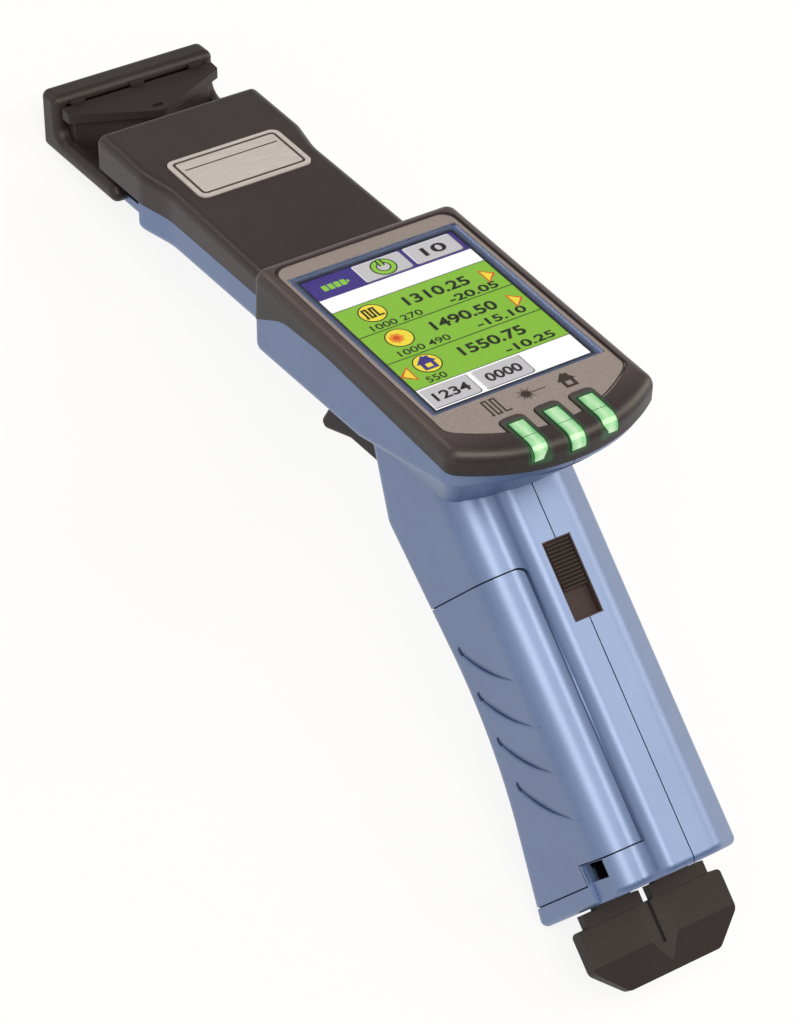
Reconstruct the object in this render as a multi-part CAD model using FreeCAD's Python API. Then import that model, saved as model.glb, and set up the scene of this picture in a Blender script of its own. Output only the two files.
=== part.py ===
import FreeCAD, Part
import math
import os
from FreeCAD import Placement, Rotation, Vector

# Hand-held optical fiber identifier, in millimetres.
# Body frame: +X the user's right, +Y along the neck to the clamp head, +Z up, x = 0 is the middle plane.
# Screen frame: the same point, leaned back by SCREEN_LEAN; z = 0 is the face round the screen.
# Handle frame: x as before, y is the depth, 0 at the spine and minus toward the front,
# and z is 0 at the foot and minus upward.
# Every solid is made in the body frame and then laid down on its hood and foot by at_rest.

# Display
SCREEN_LEAN = 3.3
SCREEN_W, SCREEN_L = 36.72, 48.96
GLASS_W, GLASS_L, GLASS_T, GLASS_R = 40.4, 52.2, 0.8, 0.8
GLASS_GAP = 0.15
BORDER_T = 0.2
PANEL_MARGIN, PANEL_T = 1.0, 2.3
TRAY_WALL, TRAY_FLOOR = 1.8, 1.2
FASCIA_HALF, FASCIA_FAR, FASCIA_NEAR, FASCIA_ARC, FASCIA_T = 21.5, 30.5, -40.3, 31.0, 1.0
FASCIA_FAR_R, FASCIA_NEAR_R = 3.0, 1.6
BEZEL_HALF, BEZEL_FAR, BEZEL_NEAR, BEZEL_ARC = 24.3, 33.4, -45.9, 39.5
BEZEL_RIM, BEZEL_EDGE, BEZEL_WALL, BEZEL_DECK = 0.3, 2.7, 2.0, 2.6
FAR_CORNER_R, NEAR_CORNER_R = 2.6, 3.4
LIGHT_PITCH, LIGHT_W, LIGHT_T, LIGHT_START, LIGHT_END = 8.15, 3.5, 1.6, -36.0, -3.0
LIGHT_BEND, LIGHT_PROUD = 2.5, 0.12
LIGHT_PAD_W, LIGHT_PAD_START = 6.0, -33.9

# Lower body: its upper edge dips at the near end and sweeps down to the neck at the far end
PARTING = [(-60.0, -9.0), (6.0, -4.1), (22.0, -4.7), (38.0, -12.3)]
PARTING_R = [0, 60.0, 14.0, 0]
BODY_HALF, BODY_FAR, BODY_NEAR, BODY_FAR_R, BODY_NEAR_R = 24.1, 34.0, -45.4, 2.6, 6.5
FLOOR, LIP_FLOOR, SLOPE_START = -18.0, -10.2, -5.0
FLOOR_EDGE = 2.6
WALL, SEAM, GAP = 2.0, 0.12, 0.3
LIP_TOP, LIP_TAPER, TAPER_START = -7.0, 0.45, -10.0
CORBEL_TOP, CORBEL_TOP_HALF, CORBEL_TOP_Y, CORBEL_TOP_TIP = -11.0, 23.0, (-35.0, 12.0), -47.0
CORBEL_LOW, CORBEL_LOW_HALF, CORBEL_LOW_Y, CORBEL_LOW_TIP = -25.3, 15.4, (-24.5, 4.0), -29.0
CORBEL_BOW, CORBEL_SIDE_R, CORBEL_FAR_R = 30.0, 4.0, 4.5

# Neck and nose
NECK_SPLIT, NECK_TOP_NEAR, NECK_TOP_FAR = -10.6, -4.95, -2.3
NECK_START, NOSE_FRONT = 34.2, 104.6
NECK_HALF, WAIST_HALF, NOSE_HALF = 18.7, 18.4, 20.2
WAIST_Y, SHOULDER_Y = 76.5, 85.5
COVER_WALL, COVER_EDGE, COVER_JOIN = 1.6, 2.2, 0.1
TONGUE_HALF, TONGUE_START, TONGUE_SET_BACK = 17.2, 86.6, 0.3
DUCT_HALF, DUCT_FLOOR = 15.6, -16.2
PLATE_HALF, PLATE_NEAR, PLATE_FAR, PLATE_T, PLATE_SUNK = 14.0, 69.9, 85.9, 0.6, 0.35

# Handle
HANDLE_FOOT = (-88.5, -78.5)
HANDLE_ANGLE = 44.3
HANDLE_HALF, HANDLE_LENGTH = 15.5, 112.0
SPINE_HALF, SPINE_R, SLOPE_DEPTH, SLOPE_R = 6.4, 3.0, 8.6, 6.0
SHOULDER_DEPTH, SHOULDER_R, VALLEY_X, VALLEY_R = 5.0, 5.4, 7.8, 3.0
FOOT_DEPTH, FOOT_DROP, FOOT_EDGE = 45.5, 2.2, 1.5
GRIP_DEPTH, GRIP_S, GRIP_R = 31.5, -37.5, 90.0
KINK_DEPTH, KINK_S, KINK_R = 36.3, -86.5, 5.0
ARCH_Y, ARCH_R, ARCH_END = 8.0, 16.0, 22.0
FRONT_EDGE_R = 4.0

# Clamp head
TRAVEL = 8.0
HOOD_HALF, HOOD_FAR, HOOD_TOP, HOOD_BOTTOM = 20.5, 129.0, -2.4, -16.6
HOOD_SIDE, HOOD_END, HOOD_FLOOR, HOOD_FLOOR_START = 2.9, 2.3, -15.0, 113.0
HOOD_EDGE = 1.8
BAR_START, BAR_T = 122.4, 2.0
ARM_TOP, ARM_END, ARM_SLANT, ARM_R = -12.3, 94.4, 4.0, 3.0
TAB_W, TAB_REACH, TAB_PITCH, TAB_SUNK, TAB_ROOT, TAB_R = 3.4, 1.5, 15.0, 1.2, 0.8, 0.6
VEE_SLOPE, VEE_END, VEE_HALF, VEE_TIP_R = 0.45, 118.55, 19.2, 4.0
VEE_EDGE_TOP, VEE_SKIRT = -5.4, -7.0
VEE_STEP, VEE_STEP_Z, VEE_INSET, VEE_CORNER = 121.4, -6.0, 1.8, 0.6
NOTCH_HALF, NOTCH_Y, NOTCH_FLOOR = 1.3, (112.0, 113.1), -6.6
YOKE_HALF, YOKE_Y, YOKE_Z = 18.7, (102.0, 106.0), (-14.6, -13.2)
GUIDE_X, GUIDE_Z = (15.0, 18.0), (-15.0, -12.8)

# Optics in the nose
BLOCK_Y, BLOCK_Z, BLOCK_GAP = (88.0, 104.0), (-11.8, -4.7), 0.5
DETECTOR_X, DETECTOR_Z, DETECTOR_R, DETECTOR_L = 6.0, -8.2, 2.35, 9.0
DETECTOR_RIM_R, DETECTOR_RIM_T, DETECTOR_FIT = 2.8, 0.8, 0.05

# Trigger and its return spring
PULL_HALF, PULL_END = 3.0, 12.0
STEM_Y, STEM_TOP, STEM_SLOT = (8.0, 20.0), -11.5, 0.4
TRIGGER_HALF, TRIGGER_REAR, TRIGGER_TOP, TRIGGER_BASE = 7.0, 5.0, -19.0, -41.3
TRIGGER_FRONT, TRIGGER_HOLLOW, TRIGGER_EDGE = 26.5, (24.0, -33.0), 1.2
TOE_UNDER, TOE_TIP, TOE_OVER = (34.0, -44.4), (35.8, -43.0), (33.0, -38.6)
SLOT_SIDE, SLOT_REAR, SLOT_FRONT = 0.4, -5.0, 20.0
SPRING_Z, SPRING_R, SPRING_WIRE = -30.0, 3.2, 0.9
SPRING_WALL_Y, SPRING_WALL_Z = (-17.0, -15.0), (-36.0, -24.0)

# Circuit boards
MAIN_BOARD_HALF, MAIN_BOARD_Y, MAIN_BOARD_Z = 20.8, (-30.0, 31.0), (-9.8, -8.6)
POST_X, POST_Y, POST_R = 18.5, 26.0, 2.2
NECK_BOARD_HALF, NECK_BOARD_Y, NECK_BOARD_Z = 13.5, (38.0, 86.0), (-9.0, -7.8)
BOSS_X, BOSS_Y, BOSS_R = 10.0, (46.0, 80.0), 2.0
SOUNDER_Y, SOUNDER_R, SOUNDER_T = 16.0, 6.0, 4.0

# Power switch, in the handle frame
WELL_HALF, WELL_S, WELL_DEPTH, WELL_TOP = 3.4, (-68.7, -51.9), -4.0, -0.05
POCKET_HALF, POCKET_S, POCKET_DEPTH = 3.1, (-68.4, -52.2), -1.9
KNOB_HALF, KNOB_LENGTH, KNOB_TRAVEL, KNOB_TOP = 2.8, 9.8, 5.8, -0.2
KNOB_RIBS, KNOB_RIB_DEPTH = 12, 0.5
KNOB_STEM_X, KNOB_STEM_S, KNOB_STEM_END = (1.0, 2.4), (-67.4, -66.0), -9.0
SWITCH_X, SWITCH_S, SWITCH_DEPTH = (0.4, 8.4), (-69.2, -53.6), -12.0

# Battery door, cells and their tray, in the handle frame
DOOR_X, DOOR_TOP, DOOR_STEP, DOOR_END, DOOR_STEP_DEPTH = -7.4, -66.0, -8.0, -3.6, -16.5
DOOR_CORNER = 1.5
LEDGE_X, LEDGE_DEPTH, LEDGE_S, LEDGE_T, LEDGE_GAP = (-20.0, -7.0), (-50.0, -17.5), (-6.0, -1.8), 1.7, 0.5
MARK_COUNT, MARK_START, MARK_PITCH = 4, -56.6, 9.8
MARK_FRONT, MARK_REACH, MARK_DROP, MARK_TILT, MARK_CUTTER = -27.2, 18.6, 11.0, -12.0, 4.0
CELL_X, CELL_DEPTHS, CELL_TOP = -7.0, (-12.9, -23.6), -60.0
CELL_R, CELL_LENGTH, CELL_NUB_R, CELL_NUB = 5.2, 43.4, 1.9, 1.1
TRAY_X, TRAY_DEPTH, TRAY_S, TRAY_T = (-11.0, -0.2), (-28.6, -8.0), (-63.6, -9.4), 1.2
CONTACT_T = 0.5
RIB_S, RIB_T, RIB_DEPTH = (-48.0, -20.0), 1.5, (-26.0, -10.0)

# Strap eye and parked adapter at the foot, in the handle frame
EYE_X, EYE_DEPTH, EYE_S, EYE_HOLE_X = (-17.0, -11.2), (-15.4, -7.8), (-7.6, -3.9), (-13.0, -10.2)
EYE_POCKET_X, EYE_POCKET_DEPTH, EYE_POCKET_S = (-17.0, -14.7), (-15.6, -7.6), (-7.8, 3.0)
ADAPTER_HALF, ADAPTER_S, ADAPTER_DEPTH = 17.6, (4.6, 19.4), (-27.4, -24.0)
ADAPTER_SHOULDER_S, ADAPTER_TIP_HALF, ADAPTER_CHIN = 13.4, 11.4, 1.4
COLLAR_X, COLLAR_S = (1.2, 15.0), 1.8
VALLEY_HALF, VALLEY_DEPTH, SLIT_HALF, SLIT_END = 3.6, 0.9, 0.4, 6.0
PRONG_X, PRONG_DEPTH, PRONG_END = (3.0, 11.5), (-27.0, -24.4), -7.0

# Resting pose: the hood's lower edge and the handle's foot stand on z = 0
REST_TILT = 27.025
REST_Y, REST_Z = 6.168, 72.781

X_AXIS, Y_AXIS = Vector(1, 0, 0), Vector(0, 1, 0)
HANDLE = Placement(Vector(0, HANDLE_FOOT[0], HANDLE_FOOT[1]), Rotation(X_AXIS, 90 + HANDLE_ANGLE))
FAR_AWAY = 70.0


# Shape helpers


def box(x0, x1, y0, y1, z0, z1):
    return Part.makeBox(x1 - x0, y1 - y0, z1 - z0, Vector(x0, y0, z0))


def outline(corners, radii):
    """Closed wire through flat corners, each one rounded by its radius."""
    count = len(corners)
    points = [Vector(*corner) for corner in corners]
    entries, middles, exits = [], [], []
    for i in range(count):
        before = (points[i - 1] - points[i]).normalize()
        after = (points[(i + 1) % count] - points[i]).normalize()
        half = before.getAngle(after) / 2
        reach = radii[i] / math.tan(half)
        inward = (before + after).normalize() if radii[i] else Vector()
        centre = points[i] + inward * (radii[i] / math.sin(half))
        entries.append(points[i] + before * reach)
        exits.append(points[i] + after * reach)
        middles.append(centre - inward * radii[i])
    edges = []
    for i in range(count):
        if (entries[i] - exits[i - 1]).Length > 1e-6:
            edges.append(Part.makeLine(exits[i - 1], entries[i]))
        if radii[i]:
            edges.append(Part.Arc(entries[i], middles[i], exits[i]).toShape())
    return Part.Wire(edges)


def slab(corners, radii, low, high):
    """Plan outline carried along z."""
    face = Part.Face(outline(corners, radii))
    face.translate(Vector(0, 0, low))
    return face.extrude(Vector(0, 0, high - low))


def side_slab(corners, radii, low, high):
    """Outline in y and z carried along x."""
    solid = slab(corners, radii, low, high)
    solid.Placement = Placement(Vector(), Rotation(Vector(1, 1, 1), 120))
    return solid


def front_slab(corners, radii, low, high):
    """Outline in x and z carried along y."""
    solid = slab(corners, radii, -high, -low)
    solid.Placement = Placement(Vector(), Rotation(X_AXIS, 90))
    return solid


def mirrored(corners):
    """Right-hand corners followed by their mirror images, as one closed outline."""
    return corners + [(-x, y) for x, y in reversed(corners)]


def both(radii):
    return radii + radii[::-1]


def middle(edge):
    return edge.valueAt((edge.FirstParameter + edge.LastParameter) / 2)


def rounded(solid, radius, test):
    """Fillet of the edges whose middle point passes the test."""
    return solid.makeFillet(radius, [edge for edge in solid.Edges if test(middle(edge))])


def near(value, target):
    return abs(value - target) < 0.01


def tablet(half, far, close, arc, low, high, far_r, close_r):
    """Slab with a straight far end and a bowed near end."""
    corner = close + arc - math.sqrt(arc * arc - half * half)
    far_left, far_right = Vector(-half, far, low), Vector(half, far, low)
    near_left, near_right = Vector(-half, corner, low), Vector(half, corner, low)
    bow = Part.Arc(near_right, Vector(0, close, low), near_left).toShape()
    sides = [Part.makeLine(far_left, far_right), Part.makeLine(far_right, near_right)]
    wire = Part.Wire(sides + [bow, Part.makeLine(near_left, far_left)])
    solid = Part.Face(wire).extrude(Vector(0, 0, high - low))
    centre = (low + high) / 2
    solid = rounded(solid, far_r, lambda p: near(p.z, centre) and near(p.y, far))
    return rounded(solid, close_r, lambda p: near(p.z, centre) and near(p.y, corner))


def from_screen(solid):
    solid.rotate(Vector(), X_AXIS, SCREEN_LEAN)
    return solid


def from_handle(solid):
    solid.Placement = HANDLE.multiply(solid.Placement)
    return solid


def handle_box(x, depth, s):
    """Box in the handle frame, each side given as its two ends."""
    return from_handle(box(x[0], x[1], depth[0], depth[1], s[0], s[1]))


def handle_point(depth, s):
    """Place in the body frame, as y and z, of a point of the handle's middle plane."""
    point = HANDLE.multVec(Vector(0, -depth, s))
    return (point.y, point.z)


def grown(span, gap):
    return (span[0] - gap, span[1] + gap)


def at_rest(solid):
    solid.rotate(Vector(), X_AXIS, -REST_TILT)
    solid.translate(Vector(0, REST_Y, REST_Z))
    return solid


# Display group


def fascia_shape(grow, low, high):
    """Tablet with three notches for the light windows."""
    solid = tablet(FASCIA_HALF + grow, FASCIA_FAR + grow, FASCIA_NEAR - grow, FASCIA_ARC + grow,
                   low, high, FASCIA_FAR_R, FASCIA_NEAR_R)
    half = LIGHT_PAD_W / 2 - grow
    start = LIGHT_PAD_START - grow
    for i in (-1, 0, 1):
        x = i * LIGHT_PITCH
        pad = [(x - half, start), (x + half, start), (x + half, BEZEL_NEAR), (x - half, BEZEL_NEAR)]
        solid = solid.cut(slab(pad, [1.5, 1.5, 0, 0], low - 1, high + 1))
    return solid


def fascia_plate():
    x, y = GLASS_W / 2 + GLASS_GAP, GLASS_L / 2 + GLASS_GAP
    return from_screen(fascia_shape(0, -FASCIA_T, 0).cut(box(-x, x, -y, y, -2 * FASCIA_T, FASCIA_T)))


def light_strip(i):
    """Bent strip that lies on the deck and turns down over the near rim."""
    x = i * LIGHT_PITCH
    rim = BEZEL_NEAR + BEZEL_ARC - math.sqrt(BEZEL_ARC ** 2 - x * x) - LIGHT_PROUD
    top = BEZEL_RIM + LIGHT_PROUD
    inner, under = rim + LIGHT_T, top - LIGHT_T - LIGHT_PROUD
    corners = [(LIGHT_START, top), (rim, top), (rim, LIGHT_END), (inner, LIGHT_END), (inner, under)]
    corners.append((LIGHT_START, under))
    return side_slab(corners, [0.4, LIGHT_BEND, 0.4, 0, 0.8, 0], x - LIGHT_W / 2, x + LIGHT_W / 2)


def light_window(i):
    return from_screen(light_strip(i))


def below_parting():
    """Everything under the line where the dark bezel meets the blue body."""
    corners = PARTING + [(FAR_AWAY, -FAR_AWAY), (-FAR_AWAY, -FAR_AWAY)]
    return side_slab(corners, PARTING_R + [0, 0], -FAR_AWAY, FAR_AWAY)


def panel_half():
    return (SCREEN_W / 2 + PANEL_MARGIN, SCREEN_L / 2 + PANEL_MARGIN)


def display_bezel():
    solid = tablet(BEZEL_HALF, BEZEL_FAR, BEZEL_NEAR, BEZEL_ARC, FLOOR, BEZEL_RIM,
                   FAR_CORNER_R, NEAR_CORNER_R)
    solid = rounded(solid, BEZEL_EDGE, lambda p: p.z > BEZEL_RIM - 0.01)
    cavity = tablet(BEZEL_HALF - BEZEL_WALL, BEZEL_FAR - BEZEL_WALL, BEZEL_NEAR + BEZEL_WALL,
                    BEZEL_ARC - BEZEL_WALL, FLOOR - 1, -BEZEL_DECK,
                    FAR_CORNER_R / 2, NEAR_CORNER_R - BEZEL_WALL)
    solid = solid.cut(cavity).cut(fascia_shape(0.2, -FASCIA_T, 2 * BEZEL_RIM))
    x, y = panel_half()
    x, y = x + GLASS_GAP, y + GLASS_GAP
    solid = solid.cut(box(-x, x, -y, y, -2 * BEZEL_DECK, 1))
    for i in (-1, 0, 1):
        solid = solid.cut(light_strip(i))
    return from_screen(solid).cut(below_parting())


def glass_slab(low, high):
    x, y = GLASS_W / 2, GLASS_L / 2
    return slab([(x, -y), (x, y), (-x, y), (-x, -y)], [GLASS_R] * 4, low, high)


def touch_glass():
    return from_screen(glass_slab(-GLASS_T, 0))


def screen_border():
    low = -GLASS_T - BORDER_T
    window = box(-SCREEN_W / 2, SCREEN_W / 2, -SCREEN_L / 2, SCREEN_L / 2, low - 1, 0)
    return from_screen(glass_slab(low, -GLASS_T).cut(window))


def screen_panel():
    x, y = panel_half()
    top = -GLASS_T - BORDER_T
    return from_screen(box(-x, x, -y, y, top - PANEL_T, top))


def panel_tray():
    x, y = panel_half()
    seat = -GLASS_T - BORDER_T - PANEL_T
    tray = box(-x - TRAY_WALL, x + TRAY_WALL, -y - TRAY_WALL, y + TRAY_WALL, seat - TRAY_FLOOR, -BEZEL_DECK)
    return from_screen(tray.cut(box(-x, x, -y, y, seat, 0)))


# Blue housing


def floor_corners(inset):
    """Side outline of the lower body: a flat floor that rises to a thin lip at the near end."""
    far, close, floor = BODY_FAR - inset, BODY_NEAR - 1 + inset, FLOOR + inset
    return [(close, 0), (far, 0), (far, floor), (SLOPE_START, floor), (close, LIP_FLOOR + inset)]


def on_floor_rim(edge):
    p = middle(edge)
    rise = (LIP_FLOOR - FLOOR) / (SLOPE_START - BODY_NEAR + 1)
    floor = FLOOR + max(0, SLOPE_START - p.y) * rise
    crossing = near(p.x, 0) and near(p.y, SLOPE_START)
    upright = abs(edge.tangentAt((edge.FirstParameter + edge.LastParameter) / 2).z) > 0.5
    return p.z < floor + 0.05 and not crossing and not upright


def near_taper(inset):
    """Everything inside a cone that draws the near end in below the bezel, and all of the far end."""
    radius, low, high = BEZEL_ARC - inset, FLOOR - 2, 1
    cone = Part.makeCone(radius - LIP_TAPER * (LIP_TOP - low), radius + LIP_TAPER * (high - LIP_TOP),
                         high - low, Vector(0, BODY_NEAR + BEZEL_ARC, low))
    return cone.fuse(box(-FAR_AWAY, FAR_AWAY, TAPER_START, FAR_AWAY, low, high))


def lower_body(inset):
    plan = tablet(BODY_HALF - inset, BODY_FAR - inset, BODY_NEAR + inset, BEZEL_ARC - inset,
                  FLOOR - 1, 0, BODY_FAR_R - inset / 2, BODY_NEAR_R - inset).common(near_taper(inset))
    solid = plan.common(side_slab(floor_corners(inset), [0] * 5, -FAR_AWAY, FAR_AWAY))
    if inset:
        return solid
    solid = solid.makeFillet(FLOOR_EDGE, [edge for edge in solid.Edges if on_floor_rim(edge)])
    return solid.common(below_parting())


def corbel(inset):
    """Funnel that carries the wide body down to the slim handle."""
    sections = []
    for z, half, span, tip in ((CORBEL_TOP, CORBEL_TOP_HALF, CORBEL_TOP_Y, CORBEL_TOP_TIP),
                               (CORBEL_LOW, CORBEL_LOW_HALF, CORBEL_LOW_Y, CORBEL_LOW_TIP)):
        x, y0, y1 = half - inset, span[0] + inset, span[1] - inset
        corners = [(0, tip + inset), (x, y0), (x, y1), (-x, y1), (-x, y0)]
        radii = [CORBEL_BOW, CORBEL_SIDE_R, CORBEL_FAR_R, CORBEL_FAR_R, CORBEL_SIDE_R]
        sections.append(outline([corner + (z + inset,) for corner in corners], radii))
    return Part.makeLoft(sections, True, True)


def neck_plan(trim):
    right = [(NECK_HALF - trim, NECK_START), (WAIST_HALF - trim, WAIST_Y)]
    right += [(NOSE_HALF - trim, SHOULDER_Y), (NOSE_HALF - trim, NOSE_FRONT)]
    return mirrored(right), both([0, 20, 10, 1.6])


def lower_neck():
    corners, radii = neck_plan(0)
    solid = slab(corners, radii, FLOOR, NECK_SPLIT)
    solid = rounded(solid, FLOOR_EDGE, lambda p: p.z < FLOOR + 0.01 and p.y > NECK_START + 1)
    solid = solid.common(box(-FAR_AWAY, FAR_AWAY, 0, TONGUE_START, -FAR_AWAY, 0))
    root = box(-NECK_HALF, NECK_HALF, BODY_FAR - 4, NECK_START, FLOOR, NECK_SPLIT)
    front = NOSE_FRONT - TONGUE_SET_BACK
    tongue = box(-TONGUE_HALF, TONGUE_HALF, TONGUE_START - 4, front, FLOOR, NECK_SPLIT)
    tongue = rounded(tongue, COVER_WALL, lambda p: near(p.z, FLOOR) and abs(p.x) > 1)
    return solid.fuse([root, tongue])


def handle_section():
    """The handle's section: a spine that slopes off to the right, a valley and a shoulder on its left."""
    right = [(SPINE_HALF, 0), (HANDLE_HALF, -SLOPE_DEPTH), (HANDLE_HALF, -FAR_AWAY)]
    left = [(-HANDLE_HALF, -FAR_AWAY), (-HANDLE_HALF, -SHOULDER_DEPTH), (-VALLEY_X, -SHOULDER_DEPTH)]
    return right + left + [(-SPINE_HALF, 0)], [SLOPE_R, SLOPE_R, 0, 0, SHOULDER_R, VALLEY_R, SPINE_R]


def handle_side(inset):
    """Side outline of the handle in the body frame, from the foot up the front to the body."""
    foot = handle_point(FOOT_DEPTH - inset, FOOT_DROP - inset)
    grip = handle_point(GRIP_DEPTH - inset, GRIP_S)
    kink = handle_point(KINK_DEPTH - inset, KINK_S)
    arch = (ARCH_Y - inset, FLOOR)
    head = [(ARCH_END - inset, FLOOR), (ARCH_END - inset, FLOOR + 4), (-ARCH_END, FLOOR + 8)]
    back = [handle_point(-4, -100), handle_point(-4, foot_level(4) - inset)]
    return [foot, grip, kink, arch] + head + back, [0, GRIP_R, KINK_R, ARCH_R, 0, 0, 0, 0, 0]


def foot_level(depth):
    """Place of the slanted foot along the handle at a depth."""
    return FOOT_DROP * -depth / FOOT_DEPTH


def on_foot(p):
    return near(p.z, foot_level(p.y))


def handle():
    corners, radii = handle_section()
    solid = from_handle(slab(corners, radii, -HANDLE_LENGTH, 2 * FOOT_DROP))
    corners, radii = handle_side(0)
    solid = solid.common(side_slab(corners, radii, -FAR_AWAY, FAR_AWAY))
    local = HANDLE.inverse()
    solid = rounded(solid, FRONT_EDGE_R, lambda p: near(abs(p.x), HANDLE_HALF)
                    and local.multVec(p).y < -22 and not on_foot(local.multVec(p)) and p.z < FLOOR + 1)
    return rounded(solid, FOOT_EDGE, lambda p: on_foot(local.multVec(p)))


def handle_cavity(inset):
    half, depth = HANDLE_HALF - inset, -SHOULDER_DEPTH - inset
    corners = [(half, depth), (-half, depth), (-half, -FAR_AWAY), (half, -FAR_AWAY)]
    radii = [SHOULDER_R - inset, SHOULDER_R - inset, 0, 0]
    solid = from_handle(slab(corners, radii, -HANDLE_LENGTH, FOOT_DROP))
    corners, radii = handle_side(inset)
    return solid.common(side_slab(corners, radii, -FAR_AWAY, FAR_AWAY))


def door_ledge():
    """Ledge at the foot that stands behind the door's lower edge."""
    root = handle_cavity(WALL).common(handle_box(LEDGE_X, LEDGE_DEPTH, (LEDGE_S[1], WALL)))
    ledge = handle_cavity(WALL + LEDGE_GAP).common(handle_box(LEDGE_X, LEDGE_DEPTH, grown(LEDGE_S, GAP)))
    return root.fuse(ledge).cut([handle_cavity(WALL + LEDGE_T), prong_sockets()])


def trigger_slots():
    """Mouth in the handle's front for the trigger, and a slit in the floor for its stem."""
    half, slit = TRIGGER_HALF + SLOT_SIDE, PULL_HALF + STEM_SLOT
    mouth = box(-half, half, SLOT_REAR, SLOT_FRONT, TRIGGER_BASE - 2 * GAP, TRIGGER_TOP + 2 * GAP)
    rear, front = STEM_Y[0] - TRAVEL - STEM_SLOT, STEM_Y[1] + STEM_SLOT
    stem = box(-slit, slit, rear, front, TRIGGER_TOP, FLOOR + 2 * WALL)
    return mouth.fuse(stem)


def guide_slots():
    """Slots in the nose's sides that the yoke runs in."""
    right = box(GUIDE_X[0], GUIDE_X[1], TONGUE_START + GAP, NOSE_FRONT + 1, GUIDE_Z[0], GUIDE_Z[1])
    left = box(-GUIDE_X[1], -GUIDE_X[0], TONGUE_START + GAP, NOSE_FRONT + 1, GUIDE_Z[0], GUIDE_Z[1])
    return right.fuse(left)


def switch_recess():
    well = handle_box((-WELL_HALF, WELL_HALF), (WELL_DEPTH, 1), WELL_S)
    return well.fuse(knob_stem_slot(-SHOULDER_DEPTH - WALL - 1, WELL_DEPTH))


def strap_eye():
    """Window in a sunk field of the side and a hole in the foot, with a bar of the wall between them."""
    window = handle_box(EYE_X, EYE_DEPTH, EYE_S)
    field = handle_box(EYE_POCKET_X, EYE_POCKET_DEPTH, EYE_POCKET_S)
    return window.fuse([field, handle_box(EYE_HOLE_X, EYE_DEPTH, (EYE_S[0], WALL))])


def prong_sockets():
    sockets = []
    for side in (-1, 1):
        x = sorted((side * PRONG_X[0], side * PRONG_X[1]))
        sockets.append(handle_box(grown(x, GAP), grown(PRONG_DEPTH, GAP), (-2 * WALL, 2 * WALL)))
    return sockets[0].fuse(sockets[1])


def board_posts():
    posts = []
    for x in (-POST_X, POST_X):
        for y in (-POST_Y, POST_Y):
            posts.append(Part.makeCylinder(POST_R, MAIN_BOARD_Z[0] - FLOOR - 1, Vector(x, y, FLOOR + 1)))
    return posts


def tray_ribs():
    """Ribs of the right half that the battery tray stands on."""
    ribs = []
    for s in RIB_S:
        ribs.append(handle_box((TRAY_X[1], HANDLE_HALF - 1), RIB_DEPTH, (s, s + RIB_T)))
    return ribs


def housing():
    """Blue moulding with all its openings, before it is split into halves."""
    outside = lower_body(0).fuse([corbel(0), lower_neck(), handle()])
    solid = outside.cut([lower_body(WALL), corbel(WALL), handle_cavity(WALL)])
    solid = solid.cut(box(-DUCT_HALF, DUCT_HALF, BODY_FAR - 6, NOSE_FRONT + 1, DUCT_FLOOR, 0))
    spring_wall = box(1 - HANDLE_HALF, HANDLE_HALF - 1, *SPRING_WALL_Y, *SPRING_WALL_Z)
    posts = [post.common(outside) for post in board_posts()]
    solid = solid.fuse([spring_wall] + posts)
    return solid.cut([trigger_slots(), guide_slots(), switch_recess(), strap_eye(), prong_sockets()])


def shell_half(side):
    inner, outer = sorted((side * SEAM, side * FAR_AWAY))
    half = housing().common(box(inner, outer, -2 * FAR_AWAY, 2 * FAR_AWAY, -2 * FAR_AWAY, FAR_AWAY))
    if side < 0:
        return half.cut(door_region(GAP)).fuse(door_ledge())
    return half.fuse(tray_ribs())


def left_shell():
    return shell_half(-1)


def right_shell():
    return shell_half(1)


# Neck cover and what lies under it


def neck_top(y):
    """Height of the cover's sloping top at a place along the neck."""
    rise = (NECK_TOP_FAR - NECK_TOP_NEAR) / (NOSE_FRONT - NECK_START)
    return NECK_TOP_NEAR + rise * (y - NECK_START)


def above_neck(drop):
    """Everything over the cover's top, lowered by drop."""
    y0, y1 = 0, 2 * FAR_AWAY
    corners = [(y0, neck_top(y0) - drop), (y1, neck_top(y1) - drop), (y1, FAR_AWAY), (y0, FAR_AWAY)]
    return side_slab(corners, [0] * 4, -FAR_AWAY, FAR_AWAY)


def neck_cover():
    corners, radii = neck_plan(0)
    outer = slab(corners, radii, NECK_SPLIT + COVER_JOIN, 2).cut(above_neck(0))
    outer = rounded(outer, COVER_EDGE, lambda p: near(p.z, neck_top(p.y)) and p.y > NECK_START + 1)
    corners, radii = neck_plan(COVER_WALL)
    hollow = slab([(x, y + COVER_WALL) for x, y in corners], both([0, 20, 10, 0]), NECK_SPLIT - 1, 2)
    solid = outer.cut(hollow.cut(above_neck(COVER_WALL)))
    bosses = []
    for x in (-BOSS_X, BOSS_X):
        for y in BOSS_Y:
            height = neck_top(y) - COVER_WALL / 2 - NECK_BOARD_Z[1]
            bosses.append(Part.makeCylinder(BOSS_R, height, Vector(x, y, NECK_BOARD_Z[1])))
    return solid.fuse(bosses).cut(plate_slab(GLASS_GAP))


def plate_slab(grow):
    """Thin plate that lies in the cover's sloping top."""
    x, y0, y1 = PLATE_HALF + grow, PLATE_NEAR - grow, PLATE_FAR + grow
    solid = slab([(x, y0), (x, y1), (-x, y1), (-x, y0)], [2.0] * 4, -PLATE_SUNK, PLATE_T - PLATE_SUNK)
    slope = math.degrees(math.atan2(NECK_TOP_FAR - NECK_TOP_NEAR, NOSE_FRONT - NECK_START))
    solid.rotate(Vector(0, PLATE_NEAR, 0), X_AXIS, slope)
    solid.translate(Vector(0, 0, neck_top(PLATE_NEAR)))
    return solid


def name_plate():
    return plate_slab(0)


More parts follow.
